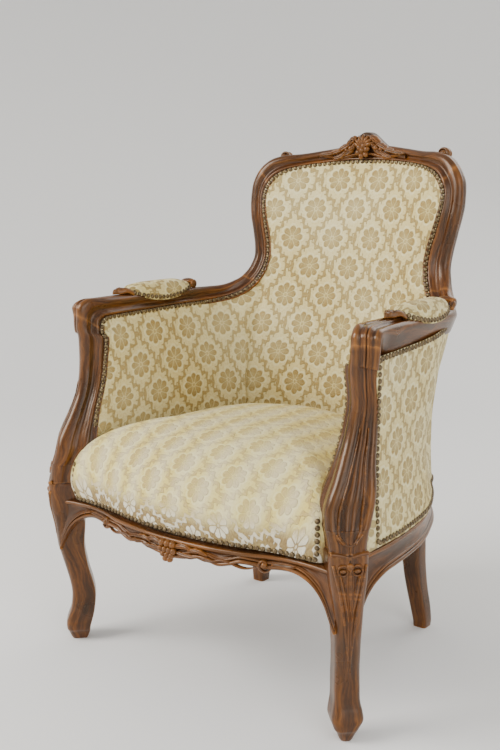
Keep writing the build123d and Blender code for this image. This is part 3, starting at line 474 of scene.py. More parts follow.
TURN = [
    (((285, -178, 645), (294, -190, 687)), 49, 1.0),
    (((284, -192, 641), (301, -222, 686)), 48, 1.0),
    (((282, -199, 632), (307, -240, 672)), 47, 1.0),
    (((279, -202, 618), (309, -243, 645)), 46, 1.0),
]


def chain_stations():
    """The right half of the frame as one run: crest, stile, arm, post and front leg."""
    rows = [rail_station(p, 32, 1, 0.15, 12) for p in CREST]
    rows += [rail_station(p, 32, 1, 0.15, 12) for p in STILE[1:]]
    rows += [rail_station(p, d, 1, s, 12) for p, d, s in zip(ARM[1:8], (30, 26, 33, 42, 46, 48, 50),
                                                             (0.2, 0.3, 0.5, 0.8, 1, 1, 1))]
    rows += [rail_station(p, d, 1, s, 11) for p, d, s in TURN]
    rows += [corner_station(r, 1, 0.7, 12) for r in reversed(POST[3:-2])]
    rows += [corner_station(r, 0.7, 0.6, 14) for r in reversed(POST[1:3])]
    rows += [corner_station(r, 0, f, 15) for r, f in zip(reversed(LEG[8:-1]), (0.6, 0.6, 0.55, 0.5, 0.4))]
    rows += [corner_station(r, 0, 0.1, 13) for r in reversed(LEG[3:8])]
    rows += [corner_station(r, 0, 0, 9) for r in reversed(LEG[:3])]
    return np.array(rows, float) * ([MM] * 8 + [1, 1] + [MM])


def bump(s, low, high):
    """A smooth hump from low to high, 1 in its middle."""
    t = np.clip((s - low) / (high - low), 0, 1)
    return np.sin(t * pi) ** 2 * (s > low) * (s < high)


def round_bump(s, low, high):
    """A half-round bead from low to high."""
    t = np.clip((s - (low + high) / 2) / ((high - low) / 2), -1, 1)
    return np.sqrt(np.maximum(0, 1 - t * t))


def face_moulding(s):
    """Height of the face over its share from nail line to edge: rebate, bead, hollow, roll."""
    rebate = -2.5 * (s < 0.14)
    bead = (0.14 <= s) * (s < 0.29) * (-2.0 + 2.6 * round_bump(s, 0.14, 0.29))
    hollow = (0.29 <= s) * (s < 0.60) * (-1.2 - 3.6 * bump(s, 0.27, 0.62))
    roll = (s >= 0.60) * 1.4 * round_bump(s, 0.58, 1.05)
    return (rebate + bead + hollow + roll) * MM


def side_moulding(s):
    """Height of the edge face over its share: beads at both sides, two reeds and a groove between."""
    height = -1.6 + 1.8 * round_bump(s, 0.03, 0.14) + 1.8 * round_bump(s, 0.86, 0.97)
    height += -1.8 * bump(s, 0.14, 0.36) - 1.8 * bump(s, 0.64, 0.86)
    height += 2.8 * round_bump(s, 0.37, 0.49) + 2.8 * round_bump(s, 0.51, 0.63)
    return height * MM


FACE_POINTS, SIDE_POINTS, CORNER_POINTS = 34, 34, 6


def section(width, depth, lap, face, side, radius):
    """Section of the frame as (outward, out of face) pairs, once round."""
    r = min(radius, width * 0.35, depth * 0.35)
    points = []
    for o in np.linspace(-lap + 0.001, width - r, FACE_POINTS):
        points.append((o, face * face_moulding(np.array(o / width)) if face else 0))
    for a in np.linspace(0, pi / 2, CORNER_POINTS + 2)[1:-1]:
        points.append((width - r + r * sin(a), -r + r * cos(a) + face * 0.0012))
    for d in np.linspace(r, depth - r, SIDE_POINTS):
        points.append((width + side * side_moulding(np.array((d - r * 0.3) / (depth - 0.6 * r))), -d))
    for a in np.linspace(0, pi / 2, CORNER_POINTS + 2)[1:-1]:
        points.append((width - r + r * cos(a), -depth + r - r * sin(a)))
    back = min(r, lap)
    for o in np.linspace(width - r, -lap + back, 8):
        points.append((o, -depth))
    for a in np.linspace(0, pi / 2, 5)[1:-1]:
        points.append((-lap + back - back * sin(a), -depth + back - back * cos(a)))
    for d in np.linspace(depth - back, 0.003 + 0.6 * r * (face == 0), 7):
        points.append((-lap, -d))
    return np.array(points)


def chain_rings(count=420):
    """Rings of the whole right half of the frame, with its nail line, edge line and face normals."""
    rows = curve(chain_stations(), count)
    nail, edge = rows[:, :3], rows[:, 3:6]
    along = np.gradient((nail + edge) / 2, axis=0)
    along /= np.linalg.norm(along, axis=1)[:, None]
    # sections of the post and leg are level
    level_share = np.clip((0.62 - nail[:, 2:]) / 0.06, 0, 1)
    along = along * (1 - level_share) + np.array([0, 0, -1]) * level_share
    width = np.linalg.norm(edge - nail, axis=1)
    out = (edge - nail) / width[:, None]
    normal = np.cross(along, out)
    normal /= np.linalg.norm(normal, axis=1)[:, None]
    rings = []
    for i, row in enumerate(rows):
        shape = section(width[i], *row[6:])
        rings.append(nail[i] + shape[:, :1] * out[i] + shape[:, 1:] * normal[i])
    return np.array(rings), nail, edge, out, normal


RINGS, NAIL_LINE, EDGE_LINE, OUT, FACE = chain_rings()


def nearest_ring(point):
    """Index of the ring whose nail point is nearest a place."""
    return int(np.argmin(np.linalg.norm(NAIL_LINE - np.asarray(point) * MM, axis=1)))


CREST_END = nearest_ring(STILE[0][0])
STILE_END = nearest_ring(ARM[0][0])
ARM_END = nearest_ring((280, -201, 624))
POST_END = int(np.argmin(np.abs(NAIL_LINE[:, 2] - 0.335) + (np.arange(len(NAIL_LINE)) < ARM_END)))


def wood_piece(name, rings, replaced):
    """A piece of show-wood."""
    return loft_piece(name, rings, WALNUT, replaced)


def carve_noise(rings, size=0.0003):
    """Hand-cut unevenness, a fraction of a millimetre."""
    flat = rings.reshape(-1, 3)
    push = np.array([noise.noise(Vector(p) * 38) for p in flat])[:, None]
    middle = np.repeat(rings.mean(1), rings.shape[1], axis=0)
    away = flat - middle
    away /= np.maximum(np.linalg.norm(away, axis=1), 1e-6)[:, None]
    return (flat + away * push * size).reshape(rings.shape)


def make_frame():
    """Crest, stiles, arms, posts and front legs, split where the timbers join."""
    rings = carve_noise(RINGS)
    left = (rings * (-1, 1, 1))[::-1]
    across = np.concatenate([left[-CREST_END - 1:-1], rings[:CREST_END + 1]])
    # the left half runs the other way, so its rings keep one turning sense with the right
    wood_piece("crest_rail_wood", across, ["crest_rail"])
    spans = [("back_stile", CREST_END, STILE_END), ("arm_rail", STILE_END, ARM_END),
             ("arm_post", ARM_END, POST_END), ("front_leg", POST_END, len(rings) - 1)]
    for name, start, end in spans:
        part = rings[start:end + 1]
        wood_piece(f"{name}_right_wood", part, [f"{name}_right"])
        wood_piece(f"{name}_left_wood", part * (-1, 1, 1), [f"{name}_left"])


def rounded_ring(x, y, z, wide, deep, corner, count=40):
    """A level rounded rectangle."""
    ring = []
    for a in np.linspace(0, 2 * pi, count, endpoint=False):
        c, s = cos(a), sin(a)
        power = 2 / corner
        ring.append((x + wide / 2 * np.sign(c) * abs(c) ** power,
                     y + deep / 2 * np.sign(s) * abs(s) ** power, z))
    return ring


def make_rear_legs():
    """Rear legs with their gentle S, and the hidden uprights above them."""
    rows = curve(mm(REAR_LEG), 60)
    rings = [rounded_ring(x, y, z, w, d, 5) for z, x, y, w, d in rows]
    low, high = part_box("rear_leg_right")
    steps = np.linspace(0, 1, 6)[1:]
    top = (214 * MM, 221 * MM, high.z)
    base = rings[-1][0][2]
    for t in steps:
        rings.append(rounded_ring(0.192 + (top[0] - 0.192) * t, 0.203 + (top[1] - 0.203) * t,
                                  base + (top[2] - base) * t, 0.030, 0.022, 5))
    rings = carve_noise(np.array(rings))
    wood_piece("rear_leg_right_wood", rings, ["rear_leg_right"])
    wood_piece("rear_leg_left_wood", rings * (-1, 1, 1), ["rear_leg_left"])


def rail_section(top, bottom, thick, step):
    """Section of a seat rail as (outward, height): moulded outer face, plain back."""
    tall = top - bottom
    points = []
    if step:
        points += [(-thick, step), (-0.017, step), (-0.0165, top + 0.0005)]
    else:
        points += [(-thick, top), (-0.006, top)]
    for a in np.linspace(0, pi, 9):
        points.append((-0.004 + 0.004 * sin(a), top - 0.004 + 0.004 * cos(a)))
    for s in np.linspace(0, 1, 14)[1:-1]:
        points.append((-0.0035 - 0.0035 * sin(s * pi) + 0.002 * s, top - 0.008 - s * (tall - 0.022)))
    for a in np.linspace(0, pi, 9):
        points.append((-0.0030 + 0.0030 * sin(a), bottom + 0.0115 + 0.0025 * cos(a)))
    for a in np.linspace(0, pi, 11):
        points.append((-0.0045 + 0.0070 * sin(a), bottom + 0.0045 + 0.0045 * cos(a)))
    points += [(-0.012, bottom), (-thick, bottom + 0.001)]
    return points


FRONT_LOWER = [(0, 264), (35, 268), (62, 274), (82, 273), (103, 268.5), (124, 273), (142, 279),
               (165, 278), (186, 275), (210, 277), (230, 277), (252, 272), (271, 263), (287, 250),
               (300, 233), (309, 215), (318, 196)]
SIDE_LOWER = [(-262, 200), (-253, 224), (-242, 242), (-226, 256), (-206, 266), (-182, 272), (-150, 274),
              (0, 274.5), (240, 274.5)]


def scallop(x):
    """Lower edge of the front rail: a centre drop, a bow to each side and the brackets by the legs."""
    stations = curve(mm(FRONT_LOWER), 300)
    return np.interp(np.abs(x), stations[:, 0], stations[:, 1])


def side_scallop(y):
    """Lower edge of the side rail, with its bracket by the front leg."""
    stations = curve(mm(SIDE_LOWER), 300)
    return np.interp(y, stations[:, 0], stations[:, 1])


def plan_rail(points, section_at, spacing=0.004):
    """Rings of a rail along its plan line; section_at gives the section at a plan point."""
    line = even(curve(points, 200), spacing)
    run = np.gradient(line, axis=0)
    run /= np.linalg.norm(run, axis=1)[:, None]
    rings = []
    for (x, y), (tx, ty) in zip(line, run):
        rings.append([(x + ty * o, y - tx * o, z) for o, z in section_at(x, y)])
    return np.array(rings)


RAIL_STEP_Z = 300 * MM


def make_rails():
    """Serpentine front rail, bowed side rails and the plain back rail."""
    half = mm(FRONT_RAIL)
    plan = np.concatenate([half[::-1] * (-1, 1), half[1:]])
    rings = plan_rail(plan, lambda x, y: rail_section(RAIL_STEP_Z, scallop(x), 0.034, 0.3175))
    wood_piece("seat_rail_front_wood", carve_noise(rings), ["seat_rail_front"])
    rings = plan_rail(mm(SIDE_RAIL), lambda x, y: rail_section(0.319, side_scallop(y), 0.026, None))
    wood_piece("seat_rail_side_right_wood", carve_noise(rings), ["seat_rail_side_right"])
    wood_piece("seat_rail_side_left_wood", carve_noise(rings) * (-1, 1, 1), ["seat_rail_side_left"])


# ------------------------------------------------------------------ tub surfaces
# right arm wall: inner top point, direction outward, inner top, outer top, offsets mid, top, waist, low
TUB = [
    ((287, -222), (1, 0), 645, 634, 2, 51, 51, 55),
    ((285, -125), (1, 0), 646, 634, -10, 52, 48, 56),
    ((281, 5), (1, 0.05), 648, 636, -20, 50, 31, 40),
    ((270, 95), (0.97, 0.25), 651, 640, -34, 34, -4, 14),
    ((243, 153), (0.85, 0.53), 664, 654, -40, 36, -6, 8),
    ((222, 178), (0.55, 0.83), 678, 670, -44, 42, 14, 19),
    ((205, 198), (0, 1), 690, 684, -52, 46, 29, 25),
]
LEVELS = mm([322, 450, 664, 952])
INNER_MID, INNER_SIDE = mm([200, 200, 247, 295]), mm([137, 137, 185, 236])
OUTER_MID, OUTER_SIDE = mm([230, 249, 281, 325]), mm([222, 231, 246, 266])
SIDE_X = 222 * MM
CORNER_X = 205 * MM


def level(z, values):
    """A value of the back's surface at height z."""
    table = curve(np.stack([LEVELS, values], axis=1), 160)
    return np.interp(z, table[:, 0], table[:, 1])


def back_depth(x, z, mid=INNER_MID, side=INNER_SIDE):
    """Depth of the back's surface at a place in the front view."""
    centre = level(z, mid)
    return centre - (centre - level(z, side)) * (np.abs(x) / SIDE_X) ** 2


def arm_columns(z, outer=False):
    """Plan points of the right arm wall's stations at height z."""
    found = []
    for (x, y), (nx, ny), top, out_top, mid, far, waist, low in TUB:
        size = hypot(nx, ny)
        if outer:
            table = curve(mm([(322, low), (434, waist), (out_top, far)]), 60)
            d = np.interp(z, table[:, 0], table[:, 1])
        else:
            table = curve(mm([(322, mid), (450, mid), (top, 0), (top + 80, 12)]), 80)
            d = np.interp(z, table[:, 0], table[:, 1])
        found.append((x * MM + nx / size * d, y * MM + ny / size * d))
    return np.array(found)


BACK_COLUMNS = mm([0, 40, 80, 120, 160, 188])


def inner_plan(z, count):
    """Right half of the inner surface at height z, from the middle of the back to the post."""
    back = [(x, back_depth(x, z)) for x in BACK_COLUMNS]
    arms = arm_columns(z)[::-1]
    high = np.clip((z - 0.68) / 0.03, 0, 1)
    corner = (CORNER_X, back_depth(CORNER_X, z))
    ear = (0.222, back_depth(0.222, z))
    second = arms[1] * (1 - high) + np.array(ear) * high
    points = np.array(back + [corner, tuple(second)] + [tuple(p) for p in arms[2:]])
    return curve_at(points, count)


PLAN_KNOTS = None


def curve_at(points, count):
    """Smooth plan line with the same spacing of its knots at every height."""
    global PLAN_KNOTS
    if PLAN_KNOTS is None:
        step = np.linalg.norm(np.diff(points, axis=0), axis=1)
        PLAN_KNOTS = np.concatenate([[0], np.cumsum(step)])
    t = PLAN_KNOTS
    slope = np.gradient(points, t, axis=0)
    at = np.linspace(0, t[-1], count)
    k = np.clip(np.searchsorted(t, at, side="right") - 1, 0, len(t) - 2)
    h = (t[k + 1] - t[k])[:, None]
    s = ((at - t[k]) / h[:, 0])[:, None]
    return ((2 * s**3 - 3 * s**2 + 1) * points[k] + (s**3 - 2 * s**2 + s) * h * slope[k]
            + (3 * s**2 - 2 * s**3) * points[k + 1] + (s**3 - s**2) * h * slope[k + 1])


def inside(polygon, points):
    """Which points lie inside a polygon."""
    result = np.zeros(len(points), bool)
    x, y = points[:, 0], points[:, 1]
    a = polygon
    b = np.roll(polygon, -1, axis=0)
    for (x0, y0), (x1, y1) in zip(a, b):
        if y0 == y1:
            continue
        crosses = ((y0 > y) != (y1 > y)) & (x < (x1 - x0) * (y - y0) / (y1 - y0) + x0)
        result ^= crosses
    return result


def nearest_on(polygon, points):
    """Nearest places on a closed polygon, with their distances and shares along it."""
    a = polygon
    edge = np.roll(polygon, -1, axis=0) - a
    size = np.maximum((edge**2).sum(1), 1e-12)
    place, distance, share = np.zeros_like(points), np.full(len(points), 9.0), np.zeros(len(points))
    for i in range(len(a)):
        t = np.clip(((points - a[i]) @ edge[i]) / size[i], 0, 1)
        near = a[i] + t[:, None] * edge[i]
        d = np.linalg.norm(points - near, axis=1)
        better = d < distance
        place[better], distance[better], share[better] = near[better], d[better], i + t[better]
    return place, distance, share


def trimmed_grid(us, vs, polygon, cell):
    """A grid in (u, v) cut to a polygon, its border moved onto the polygon."""
    u, v = np.meshgrid(us, vs)
    flat = np.stack([u.ravel(), v.ravel()], axis=1)
    keep = inside(polygon, flat)
    cols = len(us)
    faces = [f for f in grid_faces(len(vs), cols) if sum(keep[list(f)]) >= 2]
    used = np.unique(np.array(faces).ravel())
    new = np.full(len(flat), -1)
    new[used] = np.arange(len(used))
    points = flat[used]
    count = np.zeros(len(flat), int)
    for f in faces:
        count[list(f)] += 1
    border = count[used] < 4
    place, distance, _ = nearest_on(polygon, points[border])
    close = distance < cell * 2.2
    moved = points[border]
    moved[close] = place[close]
    points[border] = moved
    return points, [tuple(new[i] for i in f) for f in faces]

# ------------------------------------------------------------------ upholstery
COVER_EDGE = 4 * MM          # cover beyond the nail line
NAIL_PITCH, NAIL_RADIUS, NAIL_HEIGHT = 11 * MM, 4.8 * MM, 3.4 * MM
CELL = 4 * MM
SEAT_LINE = 0.37             # the inside cover goes on down behind the seat to here
COLUMNS = 340


def surface_table():
    """The inner surface as a table: rows of heights, columns from the middle of the back forward."""
    heights = np.arange(SEAT_LINE - 0.03, 0.975, 0.006)
    return heights, np.array([inner_plan(z, COLUMNS) for z in heights])


HEIGHTS, SURFACE = surface_table()
RUN = np.concatenate([[0], np.cumsum(np.linalg.norm(
    np.diff(SURFACE[np.searchsorted(HEIGHTS, 0.62)], axis=0), axis=1))])


def surface_point(u, v):
    """Places on the inner surface; u is signed run from the middle of the back, v the height."""
    col = np.interp(np.abs(u), RUN, np.arange(COLUMNS))
    row = np.clip((v - HEIGHTS[0]) / (HEIGHTS[1] - HEIGHTS[0]), 0, len(HEIGHTS) - 1.001)
    c0 = np.clip(col.astype(int), 0, COLUMNS - 2)
    r0 = row.astype(int)
    fc, fr = (col - c0)[:, None], (row - r0)[:, None]
    flat = ((SURFACE[r0, c0] * (1 - fc) + SURFACE[r0, c0 + 1] * fc) * (1 - fr)
            + (SURFACE[r0 + 1, c0] * (1 - fc) + SURFACE[r0 + 1, c0 + 1] * fc) * fr)
    return np.stack([flat[:, 0] * np.sign(u + 1e-12), flat[:, 1], v], axis=1)


def surface_share(points):
    """The (u, v) of places near the right half of the inner surface."""
    found = []
    for x, y, z in points:
        row = SURFACE[int(np.clip(round((z - HEIGHTS[0]) / 0.006), 0, len(HEIGHTS) - 1))]
        found.append((RUN[np.argmin(np.hypot(row[:, 0] - x, row[:, 1] - y))], z))
    return np.array(found)


def smooth_line(points, passes=4):
    """A line with small steps ironed out; its ends stay."""
    line = points.copy()
    for _ in range(passes):
        line[1:-1] = (line[:-2] + 2 * line[1:-1] + line[2:]) / 4
    return line


COVER_END = nearest_ring((279, -217, 430))
EDGE_3D = NAIL_LINE + OUT * COVER_EDGE - FACE * 2.2 * MM
NAILS_3D = NAIL_LINE + OUT * 1.5 * MM - FACE * 1.9 * MM


def crown(u, v):
    """How far the padding swells in front of the flat surface."""
    across = np.clip(1 - (u / 0.20) ** 2, 0, 1) ** 0.6
    up = np.sin(np.clip((v - 0.40) / 0.54, 0, 1) * pi) ** 0.7
    wall = np.clip((np.abs(u) - 0.27) / 0.10, 0, 1) * np.clip((0.70 - np.abs(u)) / 0.08, 0, 1)
    side = wall * np.sin(np.clip((v - 0.36) / 0.29, 0, 1) * pi) ** 0.7
    return 0.013 * across * up + 0.008 * side


def grid_normals(verts, faces):
    """Vertex normals of a mesh."""
    quads = np.array(faces)
    normal = np.cross(verts[quads[:, 2]] - verts[quads[:, 0]], verts[quads[:, 3]] - verts[quads[:, 1]])
    total = np.zeros_like(verts)
    for k in range(4):
        np.add.at(total, quads[:, k], normal)
    return total / np.maximum(np.linalg.norm(total, axis=1), 1e-12)[:, None]


def cloth_noise(verts, size, scale):
    """Gentle unevenness of stuffing under cloth."""
    return np.array([noise.noise(Vector(p) * scale) for p in verts]) * size


def make_inside_cover():
    """One cover over both arms and the back, its edge on the nail line of the frame."""
    stop = COVER_END + 1
    edge_uv = smooth_line(surface_share(EDGE_3D[:stop]))
    edge_uv[0, 0] = 0
    left = edge_uv[::-1] * (-1, 1)
    polygon = np.concatenate([left, edge_uv[1:], [(edge_uv[-1, 0], SEAT_LINE), (left[0, 0], SEAT_LINE)]])
    reach = np.abs(polygon[:, 0]).max() + CELL
    us = np.arange(-reach, reach, CELL)
    vs = np.arange(SEAT_LINE - CELL / 2, polygon[:, 1].max() + CELL, CELL)
    uv, faces = trimmed_grid(us, vs, polygon, CELL)
    verts = surface_point(uv[:, 0], uv[:, 1])
    # pull the border onto the wood, less and less further in
    goal = EDGE_3D[:stop]
    goal_all = np.concatenate([goal[::-1] * (-1, 1, 1), goal[1:]])
    line = np.concatenate([left, edge_uv[1:]])
    miss = goal_all - surface_point(line[:, 0], line[:, 1])
    spread = 0.035
    nearest = np.empty(len(uv), int)
    for i in range(0, len(uv), 4000):
        gap = uv[i:i + 4000, None, :] - line[None, :, :]
        nearest[i:i + 4000] = np.argmin((gap**2).sum(2), axis=1)
    gap = np.linalg.norm(uv - line[nearest], axis=1)
    verts = verts + miss[nearest] * np.exp(-(gap / spread) ** 2)[:, None]
    faces = [f[::-1] for f in faces]
    normals = grid_normals(verts, faces)
    if normals[np.argmin(np.abs(uv[:, 0]) + np.abs(uv[:, 1] - 0.8)), 1] > 0:
        faces = [f[::-1] for f in faces]
        normals = -normals
    rise = np.clip(gap / 0.02, 0, 1)
    swell = crown(uv[:, 0], uv[:, 1]) * np.minimum(gap / 0.05, 1) ** 0.6
    swell += 0.0022 * rise + cloth_noise(verts, 0.0016, 14) * rise
    verts = verts + normals * swell[:, None]
    piece = make_piece("inside_cover", verts, faces, VELVET, uv,
                       ["inside_back_cover", "inside_arm_cover_left", "inside_arm_cover_right"])
    thicken(piece, 0.0018)
    return piece


def thicken(piece, thickness):
    """Gives a cover its cloth thickness, behind the face that shows."""
    solid = piece.modifiers.new("cloth", "SOLIDIFY")
    solid.thickness = thickness
    solid.offset = -1
    return piece


# right half of the seat's outline, from the middle of the front to the middle of the back
SEAT_OUTLINE = [(0, -321), (60, -318), (120, -309), (165, -298), (205, -290), (245, -287), (280, -284),
                (292, -270), (282, -225), (270, -160), (260, -80), (246, 5), (226, 75), (188, 128),
                (110, 165), (0, 184)]
SEAT_CENTRE = (0.0, -0.035)
SEAT_FIGURE = np.array([1.15, 1.10])   # scale of the figure along and across the seat
# (height, size of the outline) up the dome
SEAT_DOME = [(304, 0.998), (318, 1.012), (338, 1.022), (360, 1.018), (382, 0.996), (402, 0.955),
             (422, 0.885), (440, 0.78), (455, 0.63), (465, 0.45), (470, 0.24), (472, 0.0)]


def seat_surface():
    """Rings of the domed seat from its nailed edge to its crown."""
    half = curve(mm(SEAT_OUTLINE), 150)
    outline = np.concatenate([half, (half * (-1, 1))[::-1][1:-1]])
    outline = even(np.concatenate([outline, outline[:1]]), 0.0045)[:-1]
    centre = np.array(SEAT_CENTRE)
    rows = curve(np.array(SEAT_DOME) * (MM, 1), 90)
    rings = []
    for z, size in rows:
        size = max(size, 0.015)
        ring = centre + (outline - centre) * size
        rings.append(np.column_stack([ring, np.full(len(ring), z)]))
    return np.array(rings), outline


def make_seat():
    """Domed seat cover, pulled down to its nails at the front, and its faded crown."""
    rings, outline = seat_surface()
    rows, cols = rings.shape[:2]
    verts = rings.reshape(-1, 3)
    faces = grid_faces(rows, cols, wrap=True)
    reach = np.cumsum(np.linalg.norm(np.diff(rings[::-1], axis=0), axis=2), axis=0)
    reach = np.concatenate([np.zeros((1, cols)), reach])[::-1]
    flat = outline - np.array(SEAT_CENTRE)
    unit = flat / np.linalg.norm(flat, axis=1)[:, None]
    # the figure runs straight from front to back; the dome's extra length is taken up as it falls away
    plan = (rings[:, :, :2] - np.array(SEAT_CENTRE))
    extra = reach - np.linalg.norm(plan, axis=2)
    uv = (plan + (unit * np.abs(unit))[None] * extra[:, :, None]).reshape(-1, 2)[:, ::-1] * SEAT_FIGURE
    low = verts[:, 2] < 0.40
    creases = np.array([noise.noise(Vector((p[0] * 26, p[1] * 26, p[2] * 7))) for p in verts])
    normals = grid_normals(verts, faces)
    normals *= np.sign(np.median(normals[-cols * 20:, 2]))
    fixed = np.clip((verts[:, 2] - 0.306) / 0.02, 0, 1)
    lumps = cloth_noise(verts, 0.0035, 7) + cloth_noise(verts, 0.0012, 22)
    verts = verts + normals * ((lumps + creases * 0.0022 * low) * fixed)[:, None]
    if grid_normals(verts, faces)[-cols * 10, 2] < 0:
        faces = [f[::-1] for f in faces]
    faces.append(tuple(range((rows - 1) * cols, rows * cols)))
    faces.append(tuple(range(cols))[::-1])
    piece = make_piece("seat_cushion", verts, faces, SEAT_VELVET, uv, ["seat_cover", "seat_stuffing"])
    wear = piece.data.attributes.new("wear", "FLOAT", "POINT")
    top = np.clip((verts[:, 2] - 0.330) / 0.03, 0, 1)
    wear.data.foreach_set("value", (top + 0.25 * creases * (1 - top)).clip(0, 1).astype(np.float32))
    return piece


def make_outside_arms():
    """Waisted outside arm panels, from the post round to the rear corner."""
    tops = curve(mm([[t[3]] for t in TUB]), 120)[:, 0]
    rows = []
    for share in np.linspace(0, 1, 80):
        line = []
        for i, top in enumerate(tops):
            line.append(0.320 + (top - 0.320) * share)
        rows.append(line)
    rows = np.array(rows)
    heights = np.linspace(0.31, 0.69, 70)
    plans = np.array([curve(arm_columns(z, outer=True), 120) for z in heights])
    verts = np.zeros((80, 120, 3))
    for i in range(120):
        verts[:, i, 0] = np.interp(rows[:, i], heights, plans[:, i, 0])
        verts[:, i, 1] = np.interp(rows[:, i], heights, plans[:, i, 1])
        verts[:, i, 2] = rows[:, i]
    # turned in behind the post, which draws back towards its foot
    ahead = verts[:, :1] - verts[:, 6:7]
    ahead /= np.linalg.norm(ahead, axis=2, keepdims=True)
    inward = np.stack([-np.abs(ahead[..., 1]), ahead[..., 0], 0 * ahead[..., 0]], axis=2)
    foot = np.clip((0.40 - verts[:, :1, 2:]) / 0.06, 0, 1)
    far = np.linspace(1, 0, 4)[None, :-1, None]
    verts[:, :3] += far * (ahead * 0.014 * foot + inward * (0.016 - 0.015 * foot))
    # and brought back to meet the outside back
    close = np.linspace(0, 1, 8)[None, :] ** 1.5
    back = back_depth(CORNER_X, verts[:, -8:, 2], OUTER_MID, OUTER_SIDE) - verts[:, -8:, 1]
    verts[:, -8:, 1] += close * back
    run = np.concatenate([[0], np.cumsum(np.linalg.norm(np.diff(verts[40, :, :2], axis=0), axis=1))])
    uv = np.stack([np.tile(run, 80), (rows).ravel()], axis=1)
    flat = verts.reshape(-1, 3)
    faces = grid_faces(80, 120)
    normals = grid_normals(flat, faces)
    if normals[40 * 120 + 30, 0] < 0:
        faces, normals = [f[::-1] for f in faces], -normals
    flat = flat + normals * cloth_noise(flat, 0.0012, 13)[:, None]
    right = make_piece("outside_arm_right", flat, faces, VELVET, uv, ["outside_arm_cover_right"])
    left = make_piece("outside_arm_left", flat * (-1, 1, 1), [f[::-1] for f in faces], VELVET, uv,
                      ["outside_arm_cover_left"])
    for piece in (right, left):
        thicken(piece, 0.0018)
    return verts


def make_outside_back():
    """Outside back panel, nailed round its edge."""
    right = [(CORNER_X, 0.279), (CORNER_X, 0.68)]
    for nail, edge in STILE[::-1][1:] + CREST[::-1][1:]:
        n, e = mm(nail), mm(edge)
        way = (e - n)[[0, 2]]
        way /= np.linalg.norm(way)
        right.append(tuple(n[[0, 2]] + way * 0.012))
    right = np.array(right)
    top = curve(right[1:], 120)
    half = np.concatenate([right[:1], top])
    polygon = np.concatenate([half, (half * (-1, 1))[::-1]])
    us = np.arange(-0.26, 0.26, CELL)
    vs = np.arange(0.275, 0.99, CELL)
    uv, faces = trimmed_grid(us, vs, polygon, CELL)
    depth = back_depth(uv[:, 0], uv[:, 1], OUTER_MID, OUTER_SIDE)
    verts = np.stack([uv[:, 0], depth, uv[:, 1]], axis=1)
    normals = grid_normals(verts, faces)
    if normals[len(normals) // 2, 1] < 0:
        faces, normals = [f[::-1] for f in faces], -normals
    verts = verts + normals * (0.003 + cloth_noise(verts, 0.0015, 12))[:, None]
    piece = make_piece("outside_back", verts, faces, VELVET, uv, ["outside_back_cover"])
    thicken(piece, 0.0018)
    ring = even(np.concatenate([half, (half * (-1, 1))[::-1], half[:1]]), NAIL_PITCH)[:-1]
    inset = ring * 0.985 + np.array([0, 0.6]) * 0.015
    depth = back_depth(inset[:, 0], inset[:, 1], OUTER_MID, OUTER_SIDE) + 0.003
    places = np.stack([inset[:, 0], depth, inset[:, 1]], axis=1)
    put_nails("outside_back_nail_heads", places, np.tile([0, 1, -0.15], (len(places), 1)),
              ["outside_back_nails"])


# ------------------------------------------------------------------ nails
def put_nails(name, places, normals, replaced):
    """A group of domed nail heads, each a closed solid with a flat underside."""
    rings, around = 4, 12
    verts, faces = [], []
    for index, (place, normal) in enumerate(zip(places, normals)):
        n = Vector(normal).normalized()
        side = n.orthogonal().normalized()
        other = n.cross(side)
        wobble = 1 + 0.04 * noise.noise(Vector(place) * 90)
        start = len(verts)
        for r in range(rings):
            a = r / rings * pi / 2
            size, height = NAIL_RADIUS * cos(a) ** 0.8 * wobble, NAIL_HEIGHT * sin(a)
            for k in range(around):
                t = 2 * pi * k / around
                verts.append(Vector(place) + side * size * cos(t) + other * size * sin(t) + n * (height - 0.0004))
        verts.append(Vector(place) + n * (NAIL_HEIGHT - 0.0004))
        faces += grid_faces(rings, around, wrap=True, start=start)
        peak = start + rings * around
        last = start + (rings - 1) * around
        faces += [(last + k, last + (k + 1) % around, peak) for k in range(around)]
        faces.append(tuple(start + k for k in range(around))[::-1])
    return make_piece(name, verts, faces, BRASS, replaced=replaced)


def nail_row(line, normals, jitter=0.0003):
    """Evenly spaced places and directions along a line, a little uneven as hand-set nails are."""
    run = np.concatenate([[0], np.cumsum(np.linalg.norm(np.diff(line, axis=0), axis=1))])
    count = max(2, int(round(run[-1] / NAIL_PITCH)))
    at = (np.arange(count) + 0.5) / count * run[-1]
    places = np.stack([np.interp(at, run, line[:, i]) for i in range(3)], axis=1)
    ways = np.stack([np.interp(at, run, normals[:, i]) for i in range(3)], axis=1)
    shift = np.array([noise.noise_vector(Vector(p) * 700) for p in places]) * jitter
    return places + shift, ways


